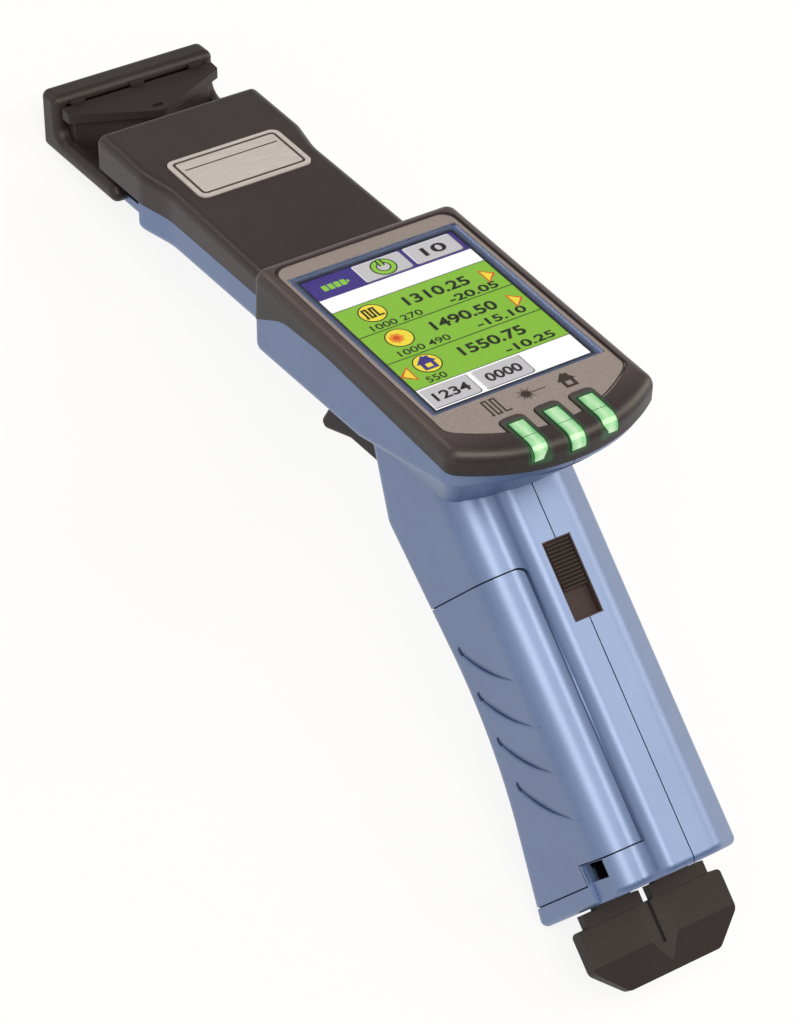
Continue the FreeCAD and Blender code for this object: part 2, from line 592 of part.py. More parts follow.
def main_board():
    x, (y0, y1) = MAIN_BOARD_HALF, MAIN_BOARD_Y
    return slab([(x, y0), (x, y1), (-x, y1), (-x, y0)], [2.0] * 4, *MAIN_BOARD_Z)


def neck_board():
    x, (y0, y1) = NECK_BOARD_HALF, NECK_BOARD_Y
    return slab([(x, y0), (x, y1), (-x, y1), (-x, y0)], [1.0] * 4, *NECK_BOARD_Z)


def sounder():
    return Part.makeCylinder(SOUNDER_R, SOUNDER_T, Vector(0, SOUNDER_Y, MAIN_BOARD_Z[1]))


def rod(radius, x, z, y0, y1):
    """Round bar along y."""
    return Part.makeCylinder(radius, y1 - y0, Vector(x, y0, z), Y_AXIS)


def optics_block():
    """Head that the fibre is pressed against, with a recess of the insert's own form."""
    solid = box(-DUCT_HALF, DUCT_HALF, *BLOCK_Y, *BLOCK_Z)
    press = vee_plan(0, BLOCK_Z[0] - 1, BLOCK_Z[1] + 1)
    press.translate(Vector(0, -TRAVEL - BLOCK_GAP, 0))
    solid = solid.cut(press)
    for x in (-DETECTOR_X, DETECTOR_X):
        end = BLOCK_Y[0] + DETECTOR_L + 1
        solid = solid.cut(rod(DETECTOR_R + DETECTOR_FIT, x, DETECTOR_Z, BLOCK_Y[0], end))
    return solid


def detector(side):
    x, y = side * DETECTOR_X, BLOCK_Y[0]
    can = rod(DETECTOR_R, x, DETECTOR_Z, y, y + DETECTOR_L)
    return can.fuse(rod(DETECTOR_RIM_R, x, DETECTOR_Z, y - DETECTOR_RIM_T, y))


# Clamp head


def arm_seam(p):
    """Points where the round between post and arm runs out into their flats."""
    return near(p.x, 0) and near(math.hypot(p.y - BAR_START + ARM_R, p.z - ARM_TOP - ARM_R), ARM_R)


def hood_block():
    """Outer form of the hood: a post at the far end and a low arm, all its edges rounded."""
    corners = [(HOOD_FAR, HOOD_TOP), (BAR_START, HOOD_TOP), (BAR_START, ARM_TOP)]
    corners += [(ARM_END + ARM_SLANT, ARM_TOP), (ARM_END, HOOD_BOTTOM), (HOOD_FAR, HOOD_BOTTOM)]
    solid = side_slab(corners, [0, 0, ARM_R, 0, 0, 0], -HOOD_HALF, HOOD_HALF)
    return rounded(solid, HOOD_EDGE, lambda p: not arm_seam(p))


def clamp_hood():
    inner, back = HOOD_HALF - HOOD_SIDE, HOOD_FAR - HOOD_END
    solid = hood_block().cut(box(-inner, inner, ARM_END - 1, back, HOOD_FLOOR, HOOD_TOP - BAR_T))
    solid = solid.cut(box(-inner, inner, ARM_END - 1, HOOD_FLOOR_START, HOOD_BOTTOM - 1, ARM_TOP))
    tabs = []
    for i in (-1, 0, 1):
        x = i * TAB_PITCH
        tab = box(x - TAB_W / 2, x + TAB_W / 2, BAR_START - TAB_REACH, BAR_START + TAB_ROOT,
                  HOOD_TOP - BAR_T, HOOD_TOP - TAB_SUNK)
        reach = BAR_START - TAB_REACH
        tabs.append(rounded(tab, TAB_R, lambda p: near(p.y, reach) and not near(p.x, x)))
    return solid.fuse(tabs).cut(yoke())


def vee_plan(inset, low, high):
    """Plan of the insert: a blunt V toward the nose, carried along z."""
    half, back = VEE_HALF - inset, HOOD_FAR - HOOD_END
    close = VEE_END + inset - VEE_SLOPE * inset
    fit = min(half, HOOD_HALF - HOOD_SIDE - GLASS_GAP)
    corners = [(0, close - VEE_SLOPE * half), (half, close), (half, BAR_START - 1)]
    corners += [(fit, BAR_START - 0.5), (fit, back)]
    left = [(-x, y) for x, y in reversed(corners[1:])]
    return slab(corners + left, [VEE_TIP_R - inset] + both([VEE_CORNER, 0, 0, 0]), low, high)


def fibre_insert():
    top, back = HOOD_TOP - BAR_T, HOOD_FAR - HOOD_END
    solid = vee_plan(0, VEE_SKIRT, top).fuse(vee_plan(VEE_INSET, HOOD_FLOOR, VEE_SKIRT))
    tip = VEE_END - VEE_SLOPE * VEE_HALF
    slope = [(tip, VEE_EDGE_TOP), (VEE_STEP, top), (VEE_STEP, top + 1), (tip, top + 1)]
    solid = solid.cut(side_slab(slope, [0] * 4, -FAR_AWAY, FAR_AWAY))
    solid = solid.cut(box(-NOTCH_HALF, NOTCH_HALF, *NOTCH_Y, NOTCH_FLOOR, top))
    return solid.cut(box(-FAR_AWAY, FAR_AWAY, VEE_STEP, back + 1, VEE_STEP_Z, top + 1))


def yoke():
    return box(-YOKE_HALF, YOKE_HALF, *YOKE_Y, *YOKE_Z)


def pull_bar():
    """Flat bar from the trigger to a cross yoke that carries the hood's arms."""
    return yoke().fuse(box(-PULL_HALF, PULL_HALF, PULL_END, YOKE_Y[0], *YOKE_Z)).removeSplitter()


def trigger():
    hollow_y, hollow_z = TRIGGER_HOLLOW
    corners = [(TRIGGER_REAR, TRIGGER_TOP), (TRIGGER_REAR, TRIGGER_BASE), (hollow_y, TRIGGER_BASE)]
    corners += [TOE_UNDER, TOE_TIP, TOE_OVER, (TRIGGER_FRONT, hollow_z), (TRIGGER_FRONT, TRIGGER_TOP)]
    solid = side_slab(corners, [0, 2, 4, 1.4, 1.4, 3, 7, 2], -TRIGGER_HALF, TRIGGER_HALF)
    solid = rounded(solid, TRIGGER_EDGE, lambda p: near(abs(p.x), TRIGGER_HALF) and p.y > TRIGGER_REAR + 1
                    and p.z < TRIGGER_TOP - 0.01)
    stem = box(-PULL_HALF, PULL_HALF, *STEM_Y, TRIGGER_TOP, STEM_TOP)
    return solid.fuse(stem).cut(pull_bar())


def return_spring():
    """Coil between the handle's inner wall and the trigger, as a plain tube."""
    start, end = SPRING_WALL_Y[1], TRIGGER_REAR
    return rod(SPRING_R, 0, SPRING_Z, start, end).cut(rod(SPRING_R - SPRING_WIRE, 0, SPRING_Z, start, end))


# Power switch


def knob_stem_slot(low, high):
    x, s = grown(KNOB_STEM_X, GAP), (KNOB_STEM_S[0] - GAP, KNOB_STEM_S[1] + KNOB_TRAVEL + GAP)
    return handle_box(x, (low, high), s)


def switch_well():
    solid = handle_box((-WELL_HALF, WELL_HALF), (WELL_DEPTH, WELL_TOP), WELL_S)
    pocket = handle_box((-POCKET_HALF, POCKET_HALF), (POCKET_DEPTH, 1), POCKET_S)
    return solid.cut([pocket, knob_stem_slot(WELL_DEPTH - 1, 0)])


def switch_knob():
    """Thumb slider with cross ribs and a stem that reaches the switch inside."""
    start = POCKET_S[0] + GAP
    base = POCKET_DEPTH + GAP
    solid = box(-KNOB_HALF, KNOB_HALF, base, KNOB_TOP, start, start + KNOB_LENGTH)
    pitch = KNOB_LENGTH / (KNOB_RIBS + 0.5)
    for i in range(KNOB_RIBS):
        groove = start + (i + 0.5) * pitch
        solid = solid.cut(box(-KNOB_HALF, KNOB_HALF, KNOB_TOP - KNOB_RIB_DEPTH, KNOB_TOP + 1,
                              groove, groove + pitch / 2))
    stem = box(*KNOB_STEM_X, KNOB_STEM_END, base, *KNOB_STEM_S)
    return from_handle(solid.fuse(stem))


def switch_body():
    solid = handle_box(SWITCH_X, (SWITCH_DEPTH, -SHOULDER_DEPTH - WALL), SWITCH_S)
    return solid.cut(knob_stem_slot(KNOB_STEM_END - GAP, 0))


# Battery compartment


def door_region(grow):
    """Block of the handle's left side that comes away as the door."""
    top, step, end = DOOR_TOP - grow, DOOR_STEP + grow, DOOR_END + grow
    depth = DOOR_STEP_DEPTH + grow
    front = end + foot_level(-FAR_AWAY - depth)
    corners = [(5, top), (5, step), (depth, step), (depth, end), (-FAR_AWAY, front), (-FAR_AWAY, top)]
    solid = side_slab(corners, [0] * 6, -FAR_AWAY, DOOR_X + grow)
    return from_handle(rounded(solid, DOOR_CORNER, lambda p: near(p.x, DOOR_X + grow) and near(p.z, top)))


def grip_mark(i):
    """Leaf-shaped scoop in the door's side: deep at its lower edge, gone at its upper edge."""
    start = MARK_START + i * MARK_PITCH
    lobe = Vector(MARK_FRONT - 0.7, start, 0)
    lobe_low, lobe_high = lobe + Vector(0.2, 1.4, 0), lobe + Vector(1.4, -0.4, 0)
    end = Vector(MARK_FRONT + MARK_REACH, start + MARK_DROP, 0)
    belly = (lobe_low + end) * 0.5 + Vector(-1.0, 1.5, 0)
    back = (lobe_high + end) * 0.5 + Vector(0.2, -0.3, 0)
    arcs = [(lobe_high, lobe, lobe_low), (lobe_low, belly, end), (end, back, lobe_high)]
    wire = Part.Wire([Part.Arc(*arc).toShape() for arc in arcs])
    solid = Part.Face(wire).extrude(Vector(0, 0, -MARK_CUTTER))
    solid.rotate(end, lobe_high - end, MARK_TILT)
    solid.Placement = Placement(Vector(), Rotation(Vector(1, 1, 1), 120)).multiply(solid.Placement)
    solid.translate(Vector(-HANDLE_HALF, 0, 0))
    return from_handle(solid)


def battery_door():
    solid = handle().common(door_region(0)).cut(handle_cavity(WALL))
    return solid.cut([grip_mark(i) for i in range(MARK_COUNT)])


def battery_tray():
    """Back plate and two end walls round the cells."""
    (x0, x1), (s0, s1) = TRAY_X, TRAY_S
    plate = handle_box((x1 - TRAY_T, x1), TRAY_DEPTH, TRAY_S)
    upper = handle_box((x0, x1), TRAY_DEPTH, (s0, s0 + TRAY_T))
    lower = handle_box((x0, x1), TRAY_DEPTH, (s1 - TRAY_T, s1))
    return plate.fuse([upper, lower]).removeSplitter()


def battery_cell(depth, turned):
    """Cylindrical cell with its button end up, or down when turned."""
    can = Part.makeCylinder(CELL_R, CELL_LENGTH, Vector(CELL_X, depth, CELL_TOP))
    button = CELL_TOP + CELL_LENGTH if turned else CELL_TOP - CELL_NUB
    return from_handle(can.fuse(Part.makeCylinder(CELL_NUB_R, CELL_NUB, Vector(CELL_X, depth, button))))


def contact_strip(start, end, bump_from, bump_to):
    """Metal strip across both cells with a dome for each one."""
    solid = handle_box((TRAY_X[0] + 1, TRAY_X[1] - TRAY_T), grown(CELL_DEPTHS[::-1], 3), (start, end))
    domes = []
    for depth in CELL_DEPTHS:
        dome = Part.makeCone(3.0, 1.6, abs(bump_to - bump_from), Vector(CELL_X, depth, bump_from),
                             Vector(0, 0, math.copysign(1, bump_to - bump_from)))
        domes.append(from_handle(dome))
    return solid.fuse(domes)


def contact_upper():
    seat = TRAY_S[0] + TRAY_T
    return contact_strip(seat, seat + CONTACT_T, seat + CONTACT_T, CELL_TOP - CELL_NUB)


def contact_lower():
    seat = TRAY_S[1] - TRAY_T
    return contact_strip(seat - CONTACT_T, seat, seat - CONTACT_T, CELL_TOP + CELL_LENGTH + CELL_NUB)


# Adapter parked at the foot


def spare_adapter():
    top, tip = ADAPTER_S
    front, back = ADAPTER_DEPTH
    right = [(ADAPTER_HALF, top), (ADAPTER_HALF, ADAPTER_SHOULDER_S), (ADAPTER_TIP_HALF, tip)]
    solid = front_slab(mirrored(right), both([1.0, 2.0, 2.0]), front, back)
    valley = [(VALLEY_HALF, back + 0.1), (-VALLEY_HALF, back + 0.1), (0, back - VALLEY_DEPTH)]
    solid = solid.cut(slab(valley, [0] * 3, top - 1, tip + 1))
    solid = solid.cut(box(-SLIT_HALF, SLIT_HALF, front - 1, back + 1, top - 1, tip - SLIT_END))
    chin = [(back, ADAPTER_SHOULDER_S - 1), (back - ADAPTER_CHIN, tip + 1), (back + 1, tip + 1)]
    solid = solid.cut(side_slab(chin, [0] * 3, -FAR_AWAY, FAR_AWAY))
    prongs = []
    for side in (-1, 1):
        x0, x1 = sorted((side * PRONG_X[0], side * PRONG_X[1]))
        prongs.append(box(x0, x1, *PRONG_DEPTH, PRONG_END, top))
        x0, x1 = sorted((side * COLLAR_X[0], side * COLLAR_X[1]))
        prongs.append(box(x0, x1, *PRONG_DEPTH, COLLAR_S, top))
    return from_handle(solid.fuse(prongs).removeSplitter())


PARTS = {
    "left_shell": left_shell, "right_shell": right_shell, "display_bezel": display_bezel,
    "fascia_plate": fascia_plate, "touch_glass": touch_glass, "screen_border": screen_border,
    "screen_panel": screen_panel, "panel_tray": panel_tray, "neck_cover": neck_cover,
    "name_plate": name_plate, "main_board": main_board, "neck_board": neck_board,
    "sounder": sounder, "optics_block": optics_block,
    "clamp_hood": clamp_hood, "fibre_insert": fibre_insert, "pull_bar": pull_bar, "trigger": trigger,
    "return_spring": return_spring, "switch_well": switch_well, "switch_knob": switch_knob,
    "switch_body": switch_body, "battery_door": battery_door, "battery_tray": battery_tray,
    "contact_upper": contact_upper, "contact_lower": contact_lower, "spare_adapter": spare_adapter,
}


def build():
    """All sub-parts by name, in the resting pose."""
    solids = {name: make() for name, make in PARTS.items()}
    for side, word in ((-1, "left"), (0, "middle"), (1, "right")):
        solids["light_window_" + word] = light_window(side)
        if side:
            solids["detector_" + word] = detector(side)
    solids["battery_cell_back"] = battery_cell(CELL_DEPTHS[0], False)
    solids["battery_cell_front"] = battery_cell(CELL_DEPTHS[1], True)
    return {name: at_rest(solid) for name, solid in solids.items()}


if __name__ == "__main__":
    os.makedirs("parts", exist_ok=True)
    for name, solid in build().items():
        solid.exportStep("parts/" + name + ".step")
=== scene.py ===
import math
import bmesh
import bpy
from mathutils import Matrix, Vector


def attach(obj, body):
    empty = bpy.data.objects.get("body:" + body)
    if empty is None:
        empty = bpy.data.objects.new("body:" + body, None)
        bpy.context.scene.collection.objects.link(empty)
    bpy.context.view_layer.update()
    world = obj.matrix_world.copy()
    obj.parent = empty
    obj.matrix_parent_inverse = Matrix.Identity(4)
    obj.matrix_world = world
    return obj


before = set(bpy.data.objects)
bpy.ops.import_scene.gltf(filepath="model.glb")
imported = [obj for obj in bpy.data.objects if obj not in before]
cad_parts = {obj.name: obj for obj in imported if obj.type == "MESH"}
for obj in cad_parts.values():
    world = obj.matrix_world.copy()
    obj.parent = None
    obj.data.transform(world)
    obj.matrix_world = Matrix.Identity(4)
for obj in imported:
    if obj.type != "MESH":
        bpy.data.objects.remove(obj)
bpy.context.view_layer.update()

# Sizes and places in millimetres and degrees, the same as in the solids.
# Body frame: +X the user's right, +Y along the neck to the clamp head, +Z up.
# Screen frame: the same point, leaned back; z = 0 is the face round the screen.
# Handle frame: y is the depth, 0 at the spine and minus toward the front; z is 0 at the foot, minus upward.
MM = 0.001
REST_TILT, REST_Y, REST_Z = 27.025, 6.168, 72.781
SCREEN_LEAN = 3.3

# Display
SCREEN_HALF_W, SCREEN_HALF_L, PANEL_TOP = 18.36, 24.48, -1.0
GLASS_HALF_W, GLASS_HALF_L, GLASS_T, GLASS_R = 20.2, 26.1, 0.8, 0.8
BORDER_W = GLASS_HALF_W - SCREEN_HALF_W
FASCIA_HALF, FASCIA_FAR, FASCIA_NEAR, FASCIA_ARC, FASCIA_FAR_R = 21.5, 30.5, -40.3, 31.0, 3.0
BEZEL_NEAR, BEZEL_ARC, BEZEL_RIM = -45.9, 39.5, 0.3
LIGHT_PITCH, LIGHT_HALF, LIGHT_START, LIGHT_END = 8.15, 1.75, -36.0, -3.0
LIGHT_BEND, LIGHT_PROUD = 2.5, 0.12
LIGHT_TOP, LIGHT_NEAR = BEZEL_RIM + LIGHT_PROUD, BEZEL_NEAR - LIGHT_PROUD

# Name plate on the neck
NECK_TOP_NEAR, NECK_TOP_FAR, NECK_START, NOSE_FRONT = -4.95, -2.3, 34.2, 104.6
PLATE_NEAR, PLATE_FAR, PLATE_PROUD = 69.9, 85.9, 0.25

# Handle with its switch, its battery door and the grip marks on the door
HANDLE_FOOT, HANDLE_ANGLE, HANDLE_HALF = (-88.5, -78.5), 44.3, 15.5
FOOT_DEPTH, FOOT_DROP = 45.5, 2.2
KNOB_HALF, KNOB_START, KNOB_LENGTH, KNOB_RIBS = 2.8, -68.1, 9.8, 12
DOOR_TOP, DOOR_END, DOOR_STEP_DEPTH = -66.0, -3.6, -16.5
MARK_COUNT, MARK_START, MARK_PITCH = 4, -56.6, 9.8
MARK_FRONT, MARK_REACH, MARK_DROP = -27.2, 18.6, 11.0


def turn(angle, axis="X"):
    """Turn about an axis by an angle in degrees."""
    return Matrix.Rotation(math.radians(angle), 4, axis)


BODY = Matrix.Scale(MM, 4) @ Matrix.Translation((0, REST_Y, REST_Z)) @ turn(-REST_TILT)
SCREEN = BODY @ turn(SCREEN_LEAN)
HANDLE = BODY @ Matrix.Translation((0, *HANDLE_FOOT)) @ turn(90 + HANDLE_ANGLE)
NECK_SLOPE = math.atan2(NECK_TOP_FAR - NECK_TOP_NEAR, NOSE_FRONT - NECK_START)
PLATE_TOP = NECK_TOP_NEAR + math.tan(NECK_SLOPE) * (PLATE_NEAR - NECK_START)
PLATE = BODY @ Matrix.Translation((0, PLATE_NEAR, PLATE_TOP)) @ Matrix.Rotation(NECK_SLOPE, 4, "X")
# The same lean as in SCREEN, the other way round, for a shader's mapping
SCREEN_TURN = (math.radians(REST_TILT - SCREEN_LEAN), 0, 0)
SCREEN_SHIFT = Matrix.Rotation(SCREEN_TURN[0], 3, "X") @ Vector((0, -REST_Y * MM, -REST_Z * MM))


# Materials

def linear(code):
    """sRGB hex to the linear colour that a shader takes."""
    parts = [int(code[i:i + 2], 16) / 255 for i in (1, 3, 5)]
    return [c / 12.92 if c <= 0.04045 else ((c + 0.055) / 1.055) ** 2.4 for c in parts] + [1.0]


def scaled(code, share):
    """sRGB hex made darker or lighter by a share."""
    return "#%02X%02X%02X" % tuple(min(255, int(int(code[i:i + 2], 16) * share)) for i in (1, 3, 5))


def per_mm(size):
    """Texture scale, in lumps to the metre, for lumps of a size in millimetres."""
    return 1 / (size * MM)


def add(tree, kind, settings=None, stops=(), **inputs):
    """One node with its settings and colour stops; an input is a value or the output that feeds it."""
    node = tree.nodes.new(kind)
    for key, value in (settings or {}).items():
        setattr(node, key, value)
    for i, (position, code) in enumerate(stops):
        marks = node.color_ramp.elements
        mark = marks[i] if i < 2 else marks.new(position)
        mark.position, mark.color = position, linear(code)
    for key, value in inputs.items():
        socket = node.inputs[int(key[1:]) if key[1:].isdigit() else key.replace("_", " ")]
        if isinstance(value, bpy.types.NodeSocket):
            tree.links.new(value, socket)
        else:
            socket.default_value = value
    return node


def shader(name, **settings):
    """New material, its node tree, its shader with plain settings, and coordinates in metres."""
    material = bpy.data.materials.new(name)
    material.use_nodes = True
    tree = material.node_tree
    surface = tree.nodes["Principled BSDF"]
    for key, value in settings.items():
        surface.inputs[key.replace("_", " ")].default_value = value
    return material, tree, surface, add(tree, "ShaderNodeTexCoord").outputs["Object"]


def link(tree, surface, **sources):
    """Nodes led into the shader's own sockets."""
    for key, node in sources.items():
        tree.links.new(node.outputs[0], surface.inputs[key.replace("_", " ")])


def metallic_paint():
    """Metallic lacquer sprayed on moulded ABS: aluminium flakes give a soft sheen and a fine sparkle."""
    material, tree, surface, place = shader("metallic_blue_lacquer_on_abs", Metallic=0.8,
                                            Coat_Weight=0.6, Coat_Roughness=0.4, Coat_IOR=2.0)
    # Real flakes are about 0.03 mm across; they are drawn ten times as coarse so that they show.
    flakes = add(tree, "ShaderNodeTexNoise", Vector=place, Scale=per_mm(0.3), Detail=2.0).outputs[0]
    clouds = add(tree, "ShaderNodeTexNoise", Vector=place, Scale=per_mm(14.0), Detail=2.0).outputs[0]
    tone = add(tree, "ShaderNodeMix", {"data_type": "FLOAT"}, Factor=0.35, A=flakes, B=clouds).outputs[0]
    link(tree, surface,
         Base_Color=add(tree, "ShaderNodeValToRGB", stops=[(0.3, "#4B6491"), (0.7, "#59729F")], Fac=tone),
         Roughness=add(tree, "ShaderNodeMapRange", Value=flakes, To_Min=0.45, To_Max=0.6),
         Normal=add(tree, "ShaderNodeBump", Strength=0.08, Distance=0.02 * MM, Height=flakes))
    return material


def grain(tree, surface, place, pit, deep, rough):
    """Spark-eroded grain of a mould: tiny dull pits and broad wear, which break up the gloss."""
    # Real pits are about 0.15 mm across; they are drawn two to five times as coarse so that they show.
    pits = add(tree, "ShaderNodeTexNoise", Vector=place, Scale=per_mm(pit), Detail=4.0).outputs[0]
    wear = add(tree, "ShaderNodeTexNoise", Vector=place, Scale=per_mm(18.0), Detail=3.0).outputs[0]
    link(tree, surface,
         Roughness=add(tree, "ShaderNodeMapRange", Value=wear, To_Min=rough - 0.05, To_Max=rough + 0.05),
         Normal=add(tree, "ShaderNodeBump", Strength=0.35, Distance=deep * MM, Height=pits))
    return pits, wear


def moulded(name, dark, light, pit, deep, rough, gloss=0.3):
    """Moulded plastic or rubber: one colour that wavers a little, under pits of a width and a depth."""
    material, tree, surface, place = shader(name, Specular_IOR_Level=gloss)
    pits, wear = grain(tree, surface, place, pit, deep, rough)
    tone = add(tree, "ShaderNodeMix", {"data_type": "FLOAT"}, Factor=0.5, A=pits, B=wear).outputs[0]
    stops = [(0.3, dark), (0.7, light)]
    link(tree, surface, Base_Color=add(tree, "ShaderNodeValToRGB", stops=stops, Fac=tone))
    return material


def lit_rim():
    """Charcoal ABS of the bezel: painted paler on its top where light falls, with green light from the
    lenses painted on it as a glow.
    """
    material, tree, surface, place = shader("charcoal_moulded_abs_bezel", Specular_IOR_Level=0.35,
                                            Emission_Color=linear("#2FA85A"))
    glow_reach, glow_strength = 2.9, 0.16
    rim_low, rim_top, rim_near, rim_far, near_share = -3.5, 0.25, -41.0, -31.0, 0.25
    grain(tree, surface, place, pit=0.6, deep=0.05, rough=0.4)
    flat = add(tree, "ShaderNodeMapping", Vector=place,
               Location=SCREEN_SHIFT, Rotation=SCREEN_TURN).outputs[0]
    across, along, height = add(tree, "ShaderNodeSeparateXYZ", Vector=flat).outputs
    # Painted glow: the lenses' green light spilt on the rim is given off by the rim itself.
    half_pitch = LIGHT_PITCH / 2 * MM
    off = add(tree, "ShaderNodeMath", {"operation": "PINGPONG"}, _0=across, _1=half_pitch).outputs[0]
    glow = add(tree, "ShaderNodeMapRange", Value=off, From_Min=LIGHT_HALF * MM, From_Max=glow_reach * MM,
               To_Min=glow_strength, To_Max=0.0).outputs[0]
    wide = add(tree, "ShaderNodeMath", {"operation": "ABSOLUTE"}, _0=across).outputs[0]
    # The light fades past the outer lenses, behind the lenses and below them.
    for source, lit, dark in ((wide, 10.5, 12.0), (along, LIGHT_START, -34.9), (height, -3.2, -4.2)):
        fade = add(tree, "ShaderNodeMapRange", Value=source, From_Min=lit * MM, From_Max=dark * MM,
                   To_Min=1.0, To_Max=0.0).outputs[0]
        glow = add(tree, "ShaderNodeMath", {"operation": "MULTIPLY"}, _0=glow, _1=fade).outputs[0]
    tree.links.new(glow, surface.inputs["Emission Strength"])
    # Painted light: the top of the rim is paler than its sides where light falls on it, less so on its near
    # part; a coarse bright speckle is mixed in.
    speckle = add(tree, "ShaderNodeTexNoise", Vector=place, Scale=per_mm(0.45), Detail=3.0).outputs[0]
    up = add(tree, "ShaderNodeMapRange", Value=height,
             From_Min=rim_low * MM, From_Max=rim_top * MM).outputs[0]
    far = add(tree, "ShaderNodeMapRange", Value=along, From_Min=rim_near * MM, From_Max=rim_far * MM,
              To_Min=near_share).outputs[0]
    painted_top_light = add(tree, "ShaderNodeMath", {"operation": "MULTIPLY"}, _0=up, _1=far).outputs[0]
    tone = add(tree, "ShaderNodeMix", {"data_type": "FLOAT"}, Factor=0.4, A=painted_top_light, B=speckle).outputs[0]
    stops = [(0.15, "#1B1516"), (0.85, "#463D40")]
    link(tree, surface, Base_Color=add(tree, "ShaderNodeValToRGB", stops=stops, Fac=tone))
    return material


def printed_film():
    """Printed polycarbonate film: a fine matt texture over taupe ink."""
    material, tree, surface, place = shader("taupe_printed_polycarbonate", Specular_IOR_Level=0.35)
    # The texture is finer than 0.1 mm; it is drawn coarser so that it shows.
    pits = add(tree, "ShaderNodeTexNoise", Vector=place, Scale=per_mm(0.35), Detail=3.0).outputs[0]
    link(tree, surface,
         Base_Color=add(tree, "ShaderNodeValToRGB", stops=[(0.3, "#786F6E"), (0.7, "#898080")], Fac=pits),
         Roughness=add(tree, "ShaderNodeMapRange", Value=pits, To_Min=0.38, To_Max=0.5),
         Normal=add(tree, "ShaderNodeBump", Strength=0.2, Distance=0.01 * MM, Height=pits))
    return material


def cover_glass():
    """Hardened cover glass with an anti-reflective film: clear, with only a faint mirror image."""
    material, tree, surface, place = shader("coated_cover_glass", Base_Color=linear("#FFFFFF"),
                                            Transmission_Weight=1.0, IOR=1.18)
    smears = add(tree, "ShaderNodeTexNoise", Vector=place, Scale=per_mm(9.0), Detail=2.0).outputs[0]
    link(tree, surface, Roughness=add(tree, "ShaderNodeMapRange", Value=smears, To_Min=0.0, To_Max=0.03))
    return material


def printed_border():
    """Ink behind the glass, its light and shade painted on as a glow: slate blue, dark by the picture and
    pale outside.
    """
    material, tree, surface, place = shader("slate_ink_behind_glass", Base_Color=linear("#10131B"),
                                            Roughness=0.5, Emission_Strength=0.8)
    flat = add(tree, "ShaderNodeMapping", Vector=place,
               Location=SCREEN_SHIFT, Rotation=SCREEN_TURN).outputs[0]
    mirror = add(tree, "ShaderNodeVectorMath", {"operation": "ABSOLUTE"}, _0=flat).outputs[0]
    inner = (SCREEN_HALF_W * MM, SCREEN_HALF_L * MM, 0)
    past = add(tree, "ShaderNodeVectorMath", {"operation": "SUBTRACT"}, _0=mirror, _1=inner).outputs[0]
    aside, ahead, _ = add(tree, "ShaderNodeSeparateXYZ", Vector=past).outputs
    far = add(tree, "ShaderNodeMath", {"operation": "MAXIMUM"}, _0=aside, _1=ahead).outputs[0]
    share = add(tree, "ShaderNodeMapRange", Value=far, From_Max=BORDER_W * MM).outputs[0]
    # Painted light: the slate colour is given off as a glow, not lit by the lamps.
    stops = [(0.0, "#15171F"), (0.22, "#1D2231"), (0.4, "#46506B"), (0.8, "#5B688A"), (0.95, "#8794B4")]
    link(tree, surface, Emission_Color=add(tree, "ShaderNodeValToRGB", stops=stops, Fac=share))
    return material


def lit_pixels(name, code):
    """Back-lit pixels: the colour comes from the light behind, so it stays even."""
    material, tree, surface, place = shader("lit_pixels_" + name, Base_Color=linear("#0A0A0A"),
                                            Roughness=0.4, Emission_Strength=1.05)
    # Pixels are 0.153 mm; their grain is drawn twice as coarse so that it shows.
    dots = add(tree, "ShaderNodeTexNoise", Vector=place, Scale=per_mm(0.3), Detail=1.0).outputs[0]
    stops = [(0.0, scaled(code, 0.97)), (1.0, code)]
    link(tree, surface, Emission_Color=add(tree, "ShaderNodeValToRGB", stops=stops, Fac=dots))
    return material


def ink(name, code):
    """Screen-printed ink: thin, matt and slightly uneven."""
    material, tree, surface, place = shader("printed_ink_" + name, Specular_IOR_Level=0.3)
    # The mesh leaves marks about 0.1 mm apart; they are drawn four times as coarse so that they show.
    lumps = add(tree, "ShaderNodeTexNoise", Vector=place, Scale=per_mm(0.4), Detail=2.0).outputs[0]
    stops = [(0.3, code), (0.7, scaled(code, 1.12))]
    link(tree, surface,
         Base_Color=add(tree, "ShaderNodeValToRGB", stops=stops, Fac=lumps),
         Roughness=add(tree, "ShaderNodeMapRange", Value=lumps, To_Min=0.45, To_Max=0.6))
    return material


def light_pipe():
    """Green acrylic light pipe: pale and faintly streaked in its glowing middle, deep green at its edges."""
    material, tree, surface, place = shader("green_acrylic_light_pipe", Base_Color=linear("#5E8C62"),
                                            Roughness=0.15, Coat_Weight=0.5, Emission_Strength=0.6)
    across = add(tree, "ShaderNodeSeparateXYZ", Vector=place).outputs["X"]
    half_pitch = LIGHT_PITCH / 2 * MM
    off = add(tree, "ShaderNodeMath", {"operation": "PINGPONG"}, _0=across, _1=half_pitch).outputs[0]
    stretch = add(tree, "ShaderNodeMapping", Vector=place, Scale=(1.0, 0.3, 0.3)).outputs[0]
    haze = add(tree, "ShaderNodeTexNoise", Vector=stretch, Scale=per_mm(1.0), Detail=3.0).outputs[0]
    wander = add(tree, "ShaderNodeMapRange", Value=haze, To_Min=-1.1 * MM, To_Max=1.1 * MM).outputs[0]
    reach = add(tree, "ShaderNodeMath", {"operation": "ADD"}, _0=off, _1=wander).outputs[0]
    share = add(tree, "ShaderNodeMapRange", Value=reach, From_Max=LIGHT_HALF * MM).outputs[0]
    stops = [(0.0, "#DCEBD2"), (0.4, "#B4D9AE"), (0.8, "#7CBB84"), (1.0, "#3F9258")]
    link(tree, surface, Emission_Color=add(tree, "ShaderNodeValToRGB", stops=stops, Fac=share))
    return material


